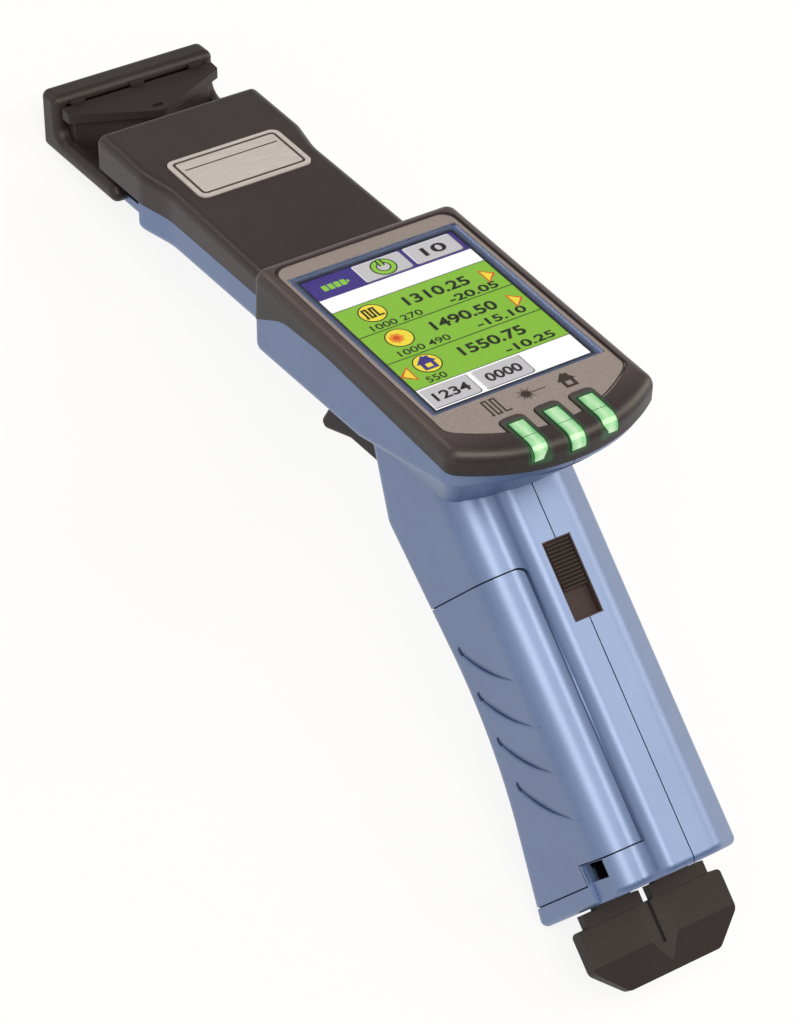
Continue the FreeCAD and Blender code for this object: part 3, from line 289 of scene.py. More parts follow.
def satin_plate():
    """Satin-anodised aluminium label: fine brushing along its length."""
    material, tree, surface, place = shader("satin_anodised_aluminium", Metallic=0.35)
    # The brush lines are about 0.05 mm apart; they are drawn five times as coarse so that they show.
    stretch = add(tree, "ShaderNodeMapping", Vector=place, Scale=(0.06, 1.0, 1.0)).outputs[0]
    lines = add(tree, "ShaderNodeTexNoise", Vector=stretch, Scale=per_mm(0.25), Detail=3.0).outputs[0]
    link(tree, surface,
         Base_Color=add(tree, "ShaderNodeValToRGB", stops=[(0.3, "#BBB3B4"), (0.7, "#CDC5C6")], Fac=lines),
         Roughness=add(tree, "ShaderNodeMapRange", Value=lines, To_Min=0.4, To_Max=0.52),
         Normal=add(tree, "ShaderNodeBump", Strength=0.12, Distance=0.01 * MM, Height=lines))
    return material


def bare_metal(name, dark, light, rough):
    """Drawn, pressed or plated metal: a dull shine that varies from spot to spot."""
    material, tree, surface, place = shader(name, Metallic=1.0)
    spots = add(tree, "ShaderNodeTexNoise", Vector=place, Scale=per_mm(0.5), Detail=3.0).outputs[0]
    link(tree, surface,
         Base_Color=add(tree, "ShaderNodeValToRGB", stops=[(0.3, dark), (0.7, light)], Fac=spots),
         Roughness=add(tree, "ShaderNodeMapRange", Value=spots, To_Min=rough - 0.08, To_Max=rough + 0.08))
    return material


PAINT = metallic_paint()
# ABS of the covers: a coarse grain, dull with a soft shine along the rounded edges
CHARCOAL = moulded("charcoal_moulded_abs", "#272021", "#32292A", pit=0.6, deep=0.05, rough=0.4, gloss=0.35)
RIM = lit_rim()
# Nylon and polypropylene of the clamp head, trigger and adapter: nearly black, with a finer grain
BLACK = moulded("black_moulded_nylon", "#231C1D", "#2D2526", pit=0.5, deep=0.03, rough=0.45)
MATT_BLACK = moulded("black_moulded_polypropylene", "#1D1617", "#271F20",
                     pit=0.5, deep=0.02, rough=0.5, gloss=0.2)
# Acetal of the slide switch: dry and almost without shine, with painted shade between the ribs
KNOB = moulded("dark_moulded_acetal", "#281E1D", "#352928", pit=0.3, deep=0.02, rough=0.6, gloss=0.12)
WELL = moulded("brown_moulded_acetal", "#362C2E", "#423739", pit=0.3, deep=0.02, rough=0.6, gloss=0.12)
# Painted shade: a near-black acetal for the floors of the knob's grooves.
SHADE = moulded("black_acetal_in_shade", "#0A0808", "#110E0D", pit=0.3, deep=0.01, rough=0.6, gloss=0.1)
# Painted shade in the seams round the battery door and in the grip marks' hooked ends, and foam in the gap
# round the glass: matt lines that part one piece from the next
# Painted shade: a dark navy for the seams' strips and the grip marks' hooked ends.
SEAM_SHADE = moulded("navy_painted_seam_shade", "#232F4C", "#2C3959", pit=0.4, deep=0.01, rough=0.6, gloss=0.1)
GASKET = moulded("slate_foam_gasket", "#5C6884", "#6A7692", pit=0.3, deep=0.01, rough=0.6, gloss=0.1)
SEAL = moulded("green_shaded_seal", "#0B3519", "#114824", pit=0.3, deep=0.01, rough=0.4)
# Inner pieces: plain grey mouldings, and boards with a smooth green mask
GREY = moulded("grey_moulded_abs", "#6A6A6A", "#7C7C7C", pit=0.6, deep=0.03, rough=0.5)
BOARD = moulded("green_solder_mask_on_glass_epoxy", "#0F4A22", "#176030", pit=0.8, deep=0.02, rough=0.35)
FILM = printed_film()
GLASS = cover_glass()
BORDER = printed_border()
LENS = light_pipe()
SILVER = satin_plate()
STEEL = bare_metal("drawn_spring_steel", "#8A8A8C", "#B2B2B4", rough=0.35)
CAN = bare_metal("nickel_plated_cell_can", "#77787A", "#A8A9AC", rough=0.3)
SCREW = bare_metal("black_zinc_screw", "#2A2A2C", "#3E3E40", rough=0.4)
# Charcoal ink: print for the fascia's signs, painted shade in the groove round the fascia's edge, and the
# dark rings round the screw heads
DARK_INK_AND_SHADE = ink("charcoal", "#2E2726")
PLATE_INK = ink("plate_line", "#3A3332")

finishes = {
    "left_shell": PAINT, "right_shell": PAINT, "battery_door": PAINT,
    "display_bezel": RIM, "neck_cover": CHARCOAL,
    "clamp_hood": BLACK, "fibre_insert": BLACK, "optics_block": BLACK,
    "trigger": MATT_BLACK, "spare_adapter": MATT_BLACK,
    "switch_well": WELL, "switch_knob": KNOB,
    "fascia_plate": FILM, "touch_glass": GLASS, "screen_border": BORDER, "screen_panel": GREY,
    "panel_tray": GREY, "battery_tray": GREY, "switch_body": GREY, "sounder": GREY,
    "light_window_left": LENS, "light_window_middle": LENS, "light_window_right": LENS,
    "name_plate": SILVER, "main_board": BOARD, "neck_board": BOARD,
    "battery_cell_back": CAN, "battery_cell_front": CAN,
    "pull_bar": STEEL, "return_spring": STEEL, "contact_upper": STEEL, "contact_lower": STEEL,
    "detector_left": STEEL, "detector_right": STEEL,
}
for name, finish in finishes.items():
    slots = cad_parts[name].data.materials
    slots.clear()
    slots.append(finish)


# Making pieces: meshes in millimetres, in the frame that they are placed by
INK = 0.02
SAME_POINT = 1e-4
CORNER_STEPS = 8
TAPER_STEPS = 5


def keep(name, mesh, where, body, finish):
    """Piece from a mesh: placed, given its finish and set to ride a body."""
    mesh.transform(where)
    mesh.materials.clear()
    mesh.materials.append(finish)
    piece = bpy.data.objects.new(name, mesh)
    bpy.context.scene.collection.objects.link(piece)
    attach(piece, body)


def settled(curve, height):
    """Mesh of a curve or text, moved to a height, with its double points merged."""
    holder = bpy.data.objects.new("holder", curve)
    bpy.context.scene.collection.objects.link(holder)
    bpy.context.view_layer.update()
    depsgraph = bpy.context.evaluated_depsgraph_get()
    mesh = bpy.data.meshes.new_from_object(holder.evaluated_get(depsgraph))
    bpy.data.objects.remove(holder)
    bpy.data.curves.remove(curve)
    soft = bmesh.new()
    soft.from_mesh(mesh)
    bmesh.ops.remove_doubles(soft, verts=soft.verts, dist=SAME_POINT)
    bmesh.ops.translate(soft, verts=soft.verts, vec=(0, 0, height))
    soft.to_mesh(mesh)
    soft.free()
    return mesh


def filled(loops, low, high):
    """Mesh of flat closed outlines, the inner ones as holes, from low to high."""
    curve = bpy.data.curves.new("outline", "CURVE")
    curve.dimensions = "2D"
    curve.fill_mode = "BOTH"
    curve.extrude = (high - low) / 2
    for loop in loops:
        spline = curve.splines.new("POLY")
        spline.points.add(len(loop) - 1)
        for point, (x, y) in zip(spline.points, loop):
            point.co = (x, y, 0, 1)
        spline.use_cyclic_u = True
    return settled(curve, (low + high) / 2)


def bead(points, radius, ends=1.0):
    """Mesh of a round bead along a line of points; its ends are a share of its radius."""
    curve = bpy.data.curves.new("bead", "CURVE")
    curve.dimensions = "3D"
    curve.bevel_depth, curve.bevel_resolution = radius, 2
    curve.use_fill_caps = True
    spline = curve.splines.new("POLY")
    last = len(points) - 1
    spline.points.add(last)
    for i, (point, place) in enumerate(zip(spline.points, points)):
        point.co = (*place, 1)
        point.radius = ends + (1 - ends) * min(1.0, i / TAPER_STEPS, (last - i) / TAPER_STEPS)
    return settled(curve, 0)


def bow(start, middle, end, steps):
    """Points on a smooth curve through three places."""
    start, middle, end = Vector(start), Vector(middle), Vector(end)
    pull = 2 * middle - (start + end) / 2
    shares = [i / steps for i in range(steps + 1)]
    return [(1 - t) ** 2 * start + 2 * t * (1 - t) * pull + t * t * end for t in shares]


def ring(x, y, radius, steps=40, start=0.0, end=360.0):
    """Points on a circle or part of one."""
    count = steps if end - start == 360 else steps + 1
    angles = [math.radians(start + (end - start) * i / steps) for i in range(count)]
    return [(x + radius * math.cos(a), y + radius * math.sin(a)) for a in angles]


def panel(x0, x1, y0, y1, radii=(0, 0, 0, 0)):
    """Rectangle with four corner radii: lower left, lower right, upper right, upper left."""
    corners = [(x0, y0, 180, 1, 1), (x1, y0, 270, -1, 1), (x1, y1, 0, -1, -1), (x0, y1, 90, 1, -1)]
    points = []
    for (x, y, start, sx, sy), radius in zip(corners, radii):
        if radius:
            points += ring(x + sx * radius, y + sy * radius, radius, CORNER_STEPS, start, start + 90)
        else:
            points.append((x, y))
    return points


def lettering(text, x, y, height, width, weight):
    """Mesh of plain figures, made bolder by a weight and fitted to a size from the lower left."""
    curve = bpy.data.curves.new("figures", "FONT")
    curve.body = text
    curve.extrude = INK / 2
    curve.offset = weight
    mesh = settled(curve, 0)
    xs = [v.co.x for v in mesh.vertices]
    ys = [v.co.y for v in mesh.vertices]
    across, tall = width / (max(xs) - min(xs)), height / (max(ys) - min(ys))
    mesh.transform(Matrix.Translation((x, y, 0)) @ Matrix.Diagonal((across, tall, 1, 1))
                   @ Matrix.Translation((-min(xs), -min(ys), 0)))
    return mesh


def stroke(points, line):
    """Outline of a line of even width that turns only at right angles."""
    left, right = [], []
    for i, (x, y) in enumerate(points):
        before = Vector(points[i]) - Vector(points[i - 1]) if i else Vector(points[1]) - Vector(points[0])
        after = Vector(points[i + 1]) - Vector(points[i]) if i + 1 < len(points) else before
        a, b = before.normalized(), after.normalized()
        straight = (a - b).length < 1e-6
        side = Vector((-a.y, a.x)) if straight else Vector((-a.y - b.y, a.x + b.x))
        left.append((x + side.x * line / 2, y + side.y * line / 2))
        right.append((x - side.x * line / 2, y - side.y * line / 2))
    return left + right[::-1]


def pulse_loop(x, y, width, height, line):
    """Square wave of two pulses, drawn as one outline."""
    step = width / 5
    points = [(x, y)]
    for i in (0, 2):
        rise, fall = x + step * (i + 0.5), x + step * (i + 1.5)
        points += [(rise, y), (rise, y + height), (fall, y + height), (fall, y)]
    return stroke(points + [(x + width, y)], line)


def house_loops(x, y, width, height):
    """House with a hipped roof, a chimney and a window, over the middle of its base line."""
    wall, eaves = width * 0.34, y + height * 0.48
    stack_right, stack_left, stack_top = x + width * 0.28, x + width * 0.13, y + height * 0.92
    stack = [(stack_right, y + height * 0.72), (stack_right, stack_top),
             (stack_left, stack_top), (stack_left, y + height * 0.87)]
    body = [(x - wall, y), (x + wall, y), (x + wall, eaves), (x + width / 2, eaves), *stack,
            (x, y + height), (x - width / 2, eaves), (x - wall, eaves)]
    return [body, panel(x - wall * 0.45, x + wall * 0.45, y + height * 0.14, y + height * 0.42)]


def burst_loop(x, y, inner, outer, rays):
    """Star of thin rays, long and short in turn."""
    points = []
    for i in range(rays):
        angle = 2 * math.pi * i / rays
        reach = outer * (1.0 if i % 2 == 0 else 0.72)
        points.append((x + reach * math.cos(angle), y + reach * math.sin(angle)))
        angle += math.pi / rays
        points.append((x + inner * math.cos(angle), y + inner * math.sin(angle)))
    return points


# What the screen shows, in layers from the panel up to the glass
LAYER = 0.025
PIXEL_COLOURS = {
    "green": "#83BA33", "violet": "#3A2A7E", "white": "#FFFFFF", "grey": "#C2C0C2",
    "shadow": "#6E6C72", "pale": "#E4E3E4", "black": "#090B07", "yellow": "#EFD93A",
    "orange": "#F0A02B", "red": "#D24F1E", "leaf": "#8CC43C",
}
pixel = {name: lit_pixels(name, code) for name, code in PIXEL_COLOURS.items()}


def show(name, loops, colour, layer):
    """Flat lit shape on a layer of the screen."""
    low = PANEL_TOP + layer * LAYER
    keep("screen_" + name, filled(loops, low, low + INK), SCREEN, "housing", pixel[colour])


def show_figures(name, text, layer, x, y, height, width, weight=0.025):
    """Black figures on a layer of the screen."""
    mesh = lettering(text, x, y, height, width, weight)
    mesh.transform(Matrix.Translation((0, 0, PANEL_TOP + layer * LAYER + INK / 2)))
    keep("screen_" + name, mesh, SCREEN, "housing", pixel["black"])


# Coloured bands across the picture, with black lines between them
W, L = SCREEN_HALF_W, SCREEN_HALF_L
TOP_BAND, BANDS, LINE_HALF = 17.4, (12.6, 2.75, -7.25, -17.1), 0.13
show("top_band", [panel(-W, W, TOP_BAND, L)], "violet", 0)
show("upper_strip", [panel(-W, W, BANDS[0], TOP_BAND)], "white", 0)
show("lower_strip", [panel(-W, W, -L, BANDS[3])], "white", 0)
for i in range(3):
    show("band_%d" % i, [panel(-W, W, BANDS[i + 1] + LINE_HALF, BANDS[i] - LINE_HALF)], "green", 0)
show("band_lines", [panel(-W, W, y - LINE_HALF, y + LINE_HALF) for y in BANDS], "black", 0)

# Touch buttons: a shadow to the lower right, a light edge to the upper left and a grey face
DROP, EDGE = 0.25, 0.22
SHADOW_RADII, LIGHT_RADII, FACE_RADII = (0.5, 0.9, 0.5, 0.5), (0.4, 0.8, 0.4, 0.4), (0.3, 0.8, 0.3, 0.3)
buttons = (("power", -6.4, 5.2, 17.85, 24.2), ("one", 6.0, 17.5, 17.95, 24.3),
           ("list", -18.1, -6.8, -23.95, -17.5), ("zero", -5.9, 5.7, -23.95, -17.5))
for name, x0, x1, y0, y1 in buttons:
    show("button_shadow_" + name, [panel(x0, x1, y0, y1, SHADOW_RADII)], "shadow", 1)
    show("button_light_" + name, [panel(x0, x1 - DROP, y0 + DROP, y1, LIGHT_RADII)], "pale", 2)
    show("button_" + name, [panel(x0 + EDGE, x1 - DROP, y0 + DROP, y1 - EDGE, FACE_RADII)], "grey", 3)

# Power sign and figures on the buttons, and the battery's bars beside them
POWER_X, POWER_Y = -0.5, 21.0
back, outer, inner, face = (ring(POWER_X, POWER_Y, radius) for radius in (2.85, 2.55, 1.6, 1.3))
show("power_back", [back], "black", 4)
show("power_green", [outer, inner], "leaf", 5)
show("power_face", [face], "grey", 5)
for name, half, low, high, colour, layer in (("power_gap", 0.7, 0.4, 2.7, "black", 6),
                                             ("power_bar", 0.32, 0.2, 2.5, "leaf", 6.7)):
    show(name, [panel(POWER_X - half, POWER_X + half, POWER_Y + low, POWER_Y + high)], colour, layer)
for name, text, x, y, height, width in (("one", "10", 9.0, 19.6, 3.0, 5.6),
                                        ("list", "1234", -16.4, -22.2, 2.7, 8.2),
                                        ("zero", "0000", -4.2, -22.2, 2.7, 8.2)):
    show_figures("button_%s_figure" % name, text, 4, x, y, height, width)
CELL_START, CELL_PITCH, CELL_W, CELL_LOW, CELL_HIGH = -15.3, 1.45, 1.15, 19.75, 21.65
cell_starts = [CELL_START + i * CELL_PITCH for i in range(4)]
cells = [panel(x, x + CELL_W, CELL_LOW, CELL_HIGH, [0.2] * 4) for x in cell_starts]
cell_tip = panel(-9.6, -9.05, 20.3, 21.1, [0.1] * 4)
show("battery_bars", cells + [cell_tip], "leaf", 1)

# Round icons at the left of the green bands: a pulse, a burst of light and a house
ICON_X, ICON_R, ICON_RIM = -11.2, 3.05, 0.28
ICON_HEIGHTS = (8.75, -0.95, -10.75)
for i, y in enumerate(ICON_HEIGHTS):
    show("icon_rim_%d" % i, [ring(ICON_X, y, ICON_R)], "black", 1)
    show("icon_face_%d" % i, [ring(ICON_X, y, ICON_R - ICON_RIM)], "yellow", 2)
pulse_y, burst_y, house_y = ICON_HEIGHTS
glow_x, glow_y = ICON_X - 0.6, burst_y + 0.1
show("icon_pulse", [pulse_loop(ICON_X - 2.1, pulse_y - 1.3, width=4.2, height=2.8, line=0.5)], "black", 3)
show("icon_burst_glow", [ring(glow_x, glow_y, 1.5)], "orange", 3)
show("icon_burst", [burst_loop(glow_x, glow_y, inner=0.55, outer=2.1, rays=14)], "red", 4)
show("icon_house", house_loops(ICON_X, house_y - 2.0, width=4.6, height=4.6), "violet", 3)

# Readings on the green bands, and a yellow arrow with a red edge at one end of each band
readings = ((7.15, "1310.25", "-20.05", "1000 270"), (-2.65, "1490.50", "-15.10", "1000 490"),
            (-12.5, "1550.75", "-10.25", "550"))
READING_X, LEVEL_X, NOTE_X, LEVEL_DOWN, NOTE_DOWN = -3.6, 4.4, -14.4, 3.75, 3.85
NOTE_PITCH, NOTE_WEIGHT = 1.5, 0.012
for i, (base, large, small, note) in enumerate(readings):
    show_figures("reading_%d" % i, large, 1, READING_X, base, height=3.1, width=15.3)
    show_figures("level_%d" % i, small, 1, LEVEL_X, base - LEVEL_DOWN, height=2.3, width=11.6)
    show_figures("note_%d" % i, note, 1, NOTE_X, base - NOTE_DOWN,
                 height=1.9, width=NOTE_PITCH * len(note), weight=NOTE_WEIGHT)
ARROW_HALF, ARROW_LONG, ARROW_EDGE = 2.4, 2.9, 0.36
arrows = ((14.9, 7.8, 1), (14.9, -2.0, 1), (-15.5, -12.1, -1))
for i, (x, y, way) in enumerate(arrows):
    for layer, inset, colour in ((1, 0.0, "red"), (2, ARROW_EDGE, "yellow")):
        back, tip = x + way * inset * 0.9, x + way * (ARROW_LONG - inset * 1.9)
        half = ARROW_HALF - inset * 1.7
        show("arrow_%s_%d" % (colour, i), [[(back, y - half), (tip, y), (back, y + half)]], colour, layer)


# On the fascia: a line of painted shade round its edge, where it meets the bezel, and a printed sign above
# each of the three lights
NEAR_CUT, NEAR_MIDDLE, NEAR_RISE = 1.4, (0.25, 0.15), 1.5
EDGE_SHADE_WIDTH = 0.35
SIGN_BASE, BURST_X, BURST_Y = -32.1, -1.0, -29.65
RAY_END, RAY_LOW, RAY_TOP = 3.6, -29.78, -29.55


def mark_fascia(name, loops):
    """Thin dark mark on the fascia: print for the signs, painted shade for the edge line."""
    keep("fascia_mark_" + name, filled(loops, 0.0, INK), SCREEN, "housing", DARK_INK_AND_SHADE)


def fascia_edge(inset):
    """Outline of the fascia: straight sides, rounded far corners and a bowed near edge."""
    half, far = FASCIA_HALF - inset, FASCIA_FAR - inset
    near, arc = FASCIA_NEAR + inset, FASCIA_ARC - inset
    cut = half - NEAR_CUT
    side_y, cut_y = (near + arc - math.sqrt(arc * arc - x * x) for x in (half, cut))
    middle = (half - NEAR_MIDDLE[0], side_y + NEAR_MIDDLE[1])
    right = [tuple(p) for p in bow((cut, cut_y), middle, (half, side_y + NEAR_RISE), steps=6)]
    right += ring(half - FASCIA_FAR_R, far - FASCIA_FAR_R, FASCIA_FAR_R, CORNER_STEPS, 0, 90)
    near_edge = [tuple(p) for p in bow((-cut, cut_y), (0, near), (cut, cut_y), steps=24)]
    return near_edge + right + [(-x, y) for x, y in right[::-1]]


# Painted shade: the dark edge line stands for the groove between the fascia and the bezel.
mark_fascia("edge", [fascia_edge(0.0), fascia_edge(EDGE_SHADE_WIDTH)])
mark_fascia("pulse", [pulse_loop(-10.6, SIGN_BASE, width=4.7, height=4.6, line=0.42)])
mark_fascia("burst", [burst_loop(BURST_X, BURST_Y, inner=0.85, outer=2.3, rays=16)])
mark_fascia("ray", [panel(BURST_X, RAY_END, RAY_LOW, RAY_TOP)])
mark_fascia("house", house_loops(8.4, SIGN_BASE - 0.1, width=4.3, height=4.7))

# Frame line and rule on the bare name plate
FRAME_HALF, FRAME_INSET, FRAME_LINE = 12.9, 1.1, 0.6
RULE_HALF, RULE_DOWN, RULE_LINE = 11.5, 5.0, 0.4
plate_length = PLATE_FAR - PLATE_NEAR
plate_lines = []
for inset, radius in ((0.0, 1.1), (FRAME_LINE, 0.7)):
    half, low = FRAME_HALF - inset, FRAME_INSET + inset
    plate_lines.append(panel(-half, half, low, plate_length - low, [radius] * 4))
rule_low = plate_length - RULE_DOWN
plate_lines.append(panel(-RULE_HALF, RULE_HALF, rule_low, rule_low + RULE_LINE))
plate_print = filled(plate_lines, PLATE_PROUD, PLATE_PROUD + INK)
keep("plate_frame", plate_print, PLATE, "housing", PLATE_INK)

# Dark seals round the three lenses, and a line of painted shade across each one where it turns over the rim
SEAL_R, SEAL_GAP, CREASE_R, CREASE_Y = 0.14, 0.05, 0.06, -41.0
for i in range(3):
    x, half = (i - 1) * LIGHT_PITCH, LIGHT_HALF + SEAL_GAP
    near = LIGHT_NEAR + BEZEL_ARC - math.sqrt(BEZEL_ARC ** 2 - x * x)
    bend = ring(near + LIGHT_BEND, LIGHT_TOP - LIGHT_BEND, LIGHT_BEND, CORNER_STEPS, 90, 180)
    side = [(LIGHT_START, LIGHT_TOP), *bend, (near, LIGHT_END)]
    path = [(x - half, y, z) for y, z in side[::-1]] + [(x + half, y, z) for y, z in side]
    keep("lens_seal_%d" % i, bead(path, SEAL_R), SCREEN, "housing", SEAL)
    # Painted shade: a dark line across each lens at its bend.
    crease = [(x - LIGHT_HALF, CREASE_Y, LIGHT_TOP), (x + LIGHT_HALF, CREASE_Y, LIGHT_TOP)]
    keep("lens_crease_%d" % i, bead(crease, CREASE_R), SCREEN, "housing", SEAL)

# Raised lips along the lower edges of the grip marks on the battery door, and painted shade in their hooked
# ends
LIP_R, LIP_ENDS, LIP_SUNK = 0.5, 0.4, 0.33
HOOK_R, HOOK_ENDS, HOOK_SUNK, HOOK_BACK, HOOK_DOWN = 0.34, 0.5, 0.2, 0.75, 0.1
HOOK_STEPS = ((0.7, -0.4), (-0.7, 0.0), (-0.5, 1.4))
BELLY_BACK, BELLY_DOWN = -1.0, 1.5
for i in range(MARK_COUNT):
    start = MARK_START + i * MARK_PITCH
    front, lobe, low = ((MARK_FRONT + back, start + down) for back, down in HOOK_STEPS)
    end = (MARK_FRONT + MARK_REACH, start + MARK_DROP)
    belly = ((low[0] + end[0]) / 2 + BELLY_BACK, (low[1] + end[1]) / 2 + BELLY_DOWN)
    edge = bow(front, lobe, low, steps=8) + bow(low, belly, end, steps=20)[1:]
    lip = [(LIP_SUNK - HANDLE_HALF, p.x, p.y) for p in edge]
    keep("grip_lip_%d" % i, bead(lip, LIP_R, LIP_ENDS), HANDLE, "door", PAINT)
    # Painted shade: a dark bead in each mark's hooked end, where shade falls.
    turned = bow(front, lobe, low, steps=10)
    hook = [(HOOK_SUNK - HANDLE_HALF, p.x + HOOK_BACK, p.y + HOOK_DOWN) for p in turned]
    keep("grip_hook_shade_%d" % i, bead(hook, HOOK_R, HOOK_ENDS), HANDLE, "door", SEAM_SHADE)

# Painted shade on the floors of the grooves across the switch knob, in a frame whose z runs down from the
# spine
SPINE = HANDLE @ turn(90)
GROOVE_TOP, GROOVE_LOW, GROOVE_SIDE = 0.38, 0.72, 0.05
rib_pitch, groove_half = KNOB_LENGTH / (KNOB_RIBS + 0.5), KNOB_HALF - GROOVE_SIDE
groove_starts = [KNOB_START + (i + 0.5) * rib_pitch for i in range(KNOB_RIBS)]
grooves = [panel(-groove_half, groove_half, s, s + rib_pitch / 2) for s in groove_starts]
groove_floors = filled(grooves, GROOVE_TOP, GROOVE_LOW)
keep("knob_groove_floors", groove_floors, SPINE, "switch_slider", SHADE)


# Printed border inside the cover glass, and the foam gasket between the glass and the fascia
def around_glass(past, radius):
    """Outline of the cover glass, grown on every side."""
    half_w, half_l = GLASS_HALF_W + past, GLASS_HALF_L + past
    return panel(-half_w, half_w, -half_l, half_l, [radius] * 4)


PRINT_INSET, PRINT_LOW = 0.05, 0.01 - GLASS_T
GASKET_LOW, GASKET_TOP, GASKET_OUTER, GASKET_INNER, GASKET_R = -0.95, -0.06, 0.13, 0.02, 0.9
border = [around_glass(-PRINT_INSET, GLASS_R - PRINT_INSET), panel(-W, W, -L, L)]
keep("border_print", filled(border, PRINT_LOW, PRINT_LOW + INK), SCREEN, "housing", BORDER)
gasket = [around_glass(GASKET_OUTER, GASKET_R), around_glass(GASKET_INNER, GLASS_R)]
keep("glass_gasket", filled(gasket, GASKET_LOW, GASKET_TOP), SCREEN, "housing", GASKET)

# Strips in the seams round the battery door: one in the blue lacquer along it, and strips of painted shade
# at its two ends
LONG_LEFT, LONG_RIGHT, LONG_FLOOR, LONG_LEFT_TOP, LONG_RIGHT_TOP = -7.33, -7.12, -6.5, -3.18, -2.56
LONG_START, LONG_END = -64.3, -7.9
STRIP_SUNK, STRIP_W, STRIP_T, STRIP_BEND, STRIP_END, STRIP_GAP = 0.5, 1.1, 0.24, 3.5, -9.0, 0.03
LOWER_SEAM = (HANDLE @ Matrix.Translation((0, DOOR_STEP_DEPTH, DOOR_END))
              @ Matrix.Rotation(-math.atan(FOOT_DROP / FOOT_DEPTH), 4, "X"))


def seam_strip(name, where, front, reach, low):
    """Strip of painted shade along the handle's left side and round its front corner, just below the
    surface.
    """
    left, near = STRIP_SUNK - HANDLE_HALF, front + STRIP_SUNK
    outer, inner = (ring(left + STRIP_BEND, near + STRIP_BEND, radius, CORNER_STEPS, 180, 270)
                    for radius in (STRIP_BEND, STRIP_BEND - STRIP_W))
    outline = [(left, front + reach), *outer, (STRIP_END, near), (STRIP_END, near + STRIP_W),
               *inner[::-1], (left + STRIP_W, front + reach)]
    keep(name, filled([outline], low, low + STRIP_T), where, "housing", SEAM_SHADE)


long_seam = [(LONG_LEFT, LONG_FLOOR), (LONG_RIGHT, LONG_FLOOR),
             (LONG_RIGHT, LONG_RIGHT_TOP), (LONG_LEFT, LONG_LEFT_TOP)]
keep("door_strip_long", filled([long_seam], LONG_START, LONG_END), HANDLE, "housing", PAINT)
seam_strip("door_strip_upper", HANDLE, front=-34.29, reach=22.0, low=DOOR_TOP - STRIP_GAP - STRIP_T)
seam_strip("door_strip_lower", LOWER_SEAM, front=-27.5, reach=26.0, low=STRIP_GAP)

# Screws that hold the two halves together, driven from the right
FACING_RIGHT = turn(90, "Y")
SCREW_PLACES = ((-15.0, -9.0), (-15.0, -46.0), (-24.0, -76.0))
HEAD_R, HEAD_T, FLOOR_R, FLOOR_T, RING_R, RING_T = 2.1, 0.5, 1.7, 0.15, 2.7, 0.06
CROSS_REACH, CROSS_HALF = 1.25, 0.28


def screw(name, where):
    """Low round head with a cross recess, lying in a dark ring."""
    arm, slot = CROSS_REACH, CROSS_HALF
    cross = [(slot, slot), (slot, arm), (-slot, arm), (-slot, slot), (-arm, slot), (-arm, -slot),
             (-slot, -slot), (-slot, -arm), (slot, -arm), (slot, -slot), (arm, -slot), (arm, slot)]
    head, edge = ring(0, 0, HEAD_R), ring(0, 0, RING_R)
    keep(name, filled([head, cross], 0.0, HEAD_T), where, "housing", SCREW)
    keep(name + "_floor", filled([ring(0, 0, FLOOR_R)], 0.0, FLOOR_T), where, "housing", SCREW)
    keep(name + "_ring", filled([edge, head], 0.0, RING_T), where, "housing", DARK_INK_AND_SHADE)


for i, (depth, along) in enumerate(SCREW_PLACES):
    screw("handle_screw_%d" % i, HANDLE @ Matrix.Translation((HANDLE_HALF, depth, along)) @ FACING_RIGHT)


# Room, light and camera, in metres and watts
FLOOR_SIZE, FLOOR_WHITE, WORLD_LIGHT = 6.0, 0.87, 0.28
LAMP_AIM = Vector((0, 0, 0.05))
LAMP_TINT = "#FFF8E8"
PHOTO_W = 794


def white_share(tree):
    """One for rays from the camera, a mirror or glass, which see the white studio; else nought."""
    path = add(tree, "ShaderNodeLightPath").outputs
    seen = path["Is Camera Ray"]
    for ray in ("Is Glossy Ray", "Is Transmission Ray"):
        seen = add(tree, "ShaderNodeMath", {"operation": "MAXIMUM"}, _0=seen, _1=path[ray]).outputs[0]
    return seen


def stage_floor():
    """Pale studio floor: white to the eye, and it keeps a soft shadow."""
    bpy.ops.mesh.primitive_plane_add(size=FLOOR_SIZE, location=(0, 0, 0))
    floor = bpy.context.object
    floor.name = "floor"
    material, tree, surface, _ = shader("white_studio_floor", Base_Color=linear("#D8D8D6"), Roughness=0.9)
    share = add(tree, "ShaderNodeMapRange", Value=white_share(tree), To_Max=FLOOR_WHITE).outputs[0]
    glow = add(tree, "ShaderNodeEmission", Color=linear("#FFFFFF"), Strength=1.0).outputs[0]
    blend = add(tree, "ShaderNodeMixShader", _0=share, _1=surface.outputs[0], _2=glow)
    tree.links.new(blend.outputs[0], tree.nodes["Material Output"].inputs["Surface"])
    floor.data.materials.append(material)


def studio_world():
    """Even white light from all round, much weaker than the lamps."""
    world = bpy.data.worlds.new("studio")
    bpy.context.scene.world = world
    world.use_nodes = True
    back = world.node_tree.nodes["Background"]
    back.inputs["Color"].default_value = linear("#FFFFFF")
    back.inputs["Strength"].default_value = WORLD_LIGHT


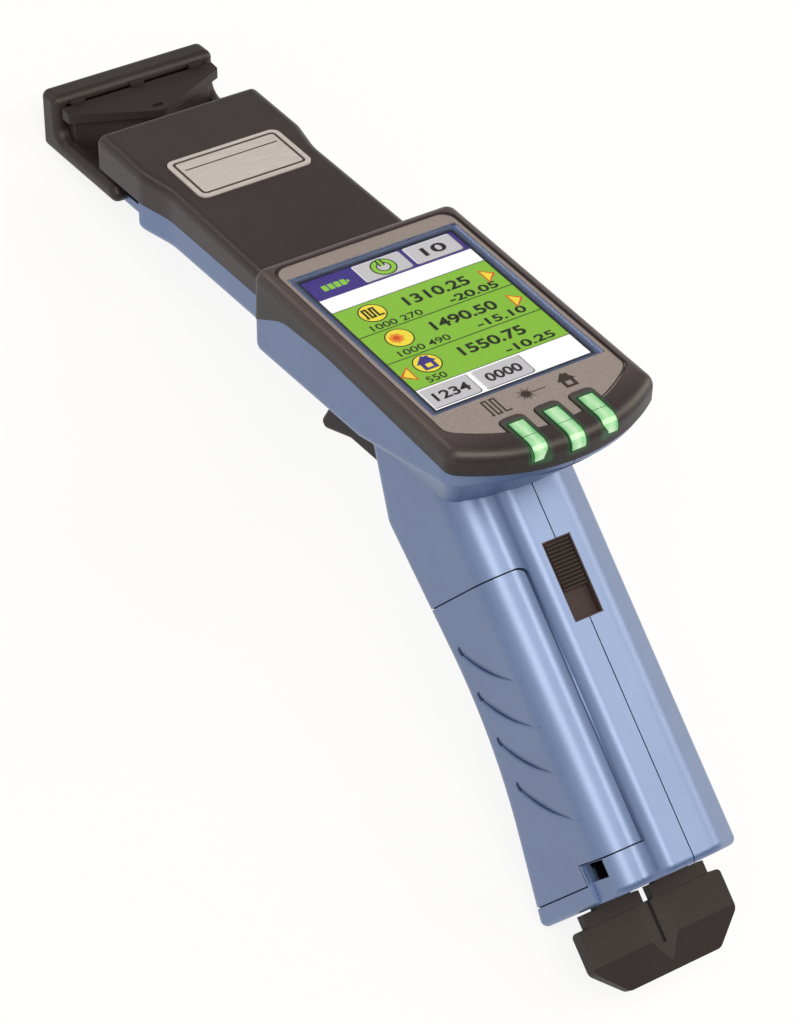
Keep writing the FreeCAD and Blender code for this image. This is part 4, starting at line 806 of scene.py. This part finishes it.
def lamp(name, place, size, power):
    """Soft rectangular lamp turned to the object."""
    data = bpy.data.lights.new(name, "AREA")
    data.shape = "RECTANGLE"
    data.size, data.size_y = size
    data.energy = power
    data.color = linear(LAMP_TINT)[:3]
    light = bpy.data.objects.new(name, data)
    light.location = place
    light.rotation_euler = (LAMP_AIM - Vector(place)).to_track_quat("-Z", "Y").to_euler()
    bpy.context.scene.collection.objects.link(light)


def studio_camera():
    """Camera where the photograph was taken, found from the screen's corners."""
    azimuth, elevation, roll = (math.radians(a) for a in (-35.095, 38.809, 2.492))
    # Millimetres from the screen's middle, and the focal length in pixels of the photograph
    distance, across, down, focal = 680.0, 9.322, -38.968, 3431.2
    level = math.cos(elevation)
    back = Vector((math.sin(azimuth) * level, -math.cos(azimuth) * level, math.sin(elevation)))
    right = Vector((0, 0, 1)).cross(back).normalized()
    up = back.cross(right)
    right, up = (math.cos(roll) * right + math.sin(roll) * up,
                 -math.sin(roll) * right + math.cos(roll) * up)
    eye = right * -across + up * down + back * distance
    pose = SCREEN @ Matrix.Translation(eye) @ Matrix((right, up, back)).transposed().to_4x4()
    data = bpy.data.cameras.new("camera")
    data.sensor_fit = "HORIZONTAL"
    data.sensor_width = 36.0
    data.lens = focal * data.sensor_width / PHOTO_W
    data.clip_start = 0.01
    camera = bpy.data.objects.new("camera", data)
    facing = pose.to_3x3().normalized().to_quaternion()
    camera.matrix_world = Matrix.LocRotScale(pose.translation, facing, None)
    bpy.context.scene.collection.objects.link(camera)
    bpy.context.scene.camera = camera


stage_floor()
studio_world()
lamp("key", place=(-0.36, -0.35, 1.25), size=(1.0, 0.6), power=15.5)
lamp("right", place=(0.6, -0.3, 1.05), size=(0.7, 0.6), power=6.2)
lamp("side", place=(0.95, -0.1, 0.42), size=(0.5, 0.5), power=4)
lamp("left", place=(-1.1, -0.15, 0.55), size=(1.0, 1.1), power=4)
lamp("rim", place=(-0.44, 1.1, 0.52), size=(0.3, 0.3), power=2)
studio_camera()
bpy.context.scene.view_settings.view_transform = "Standard"
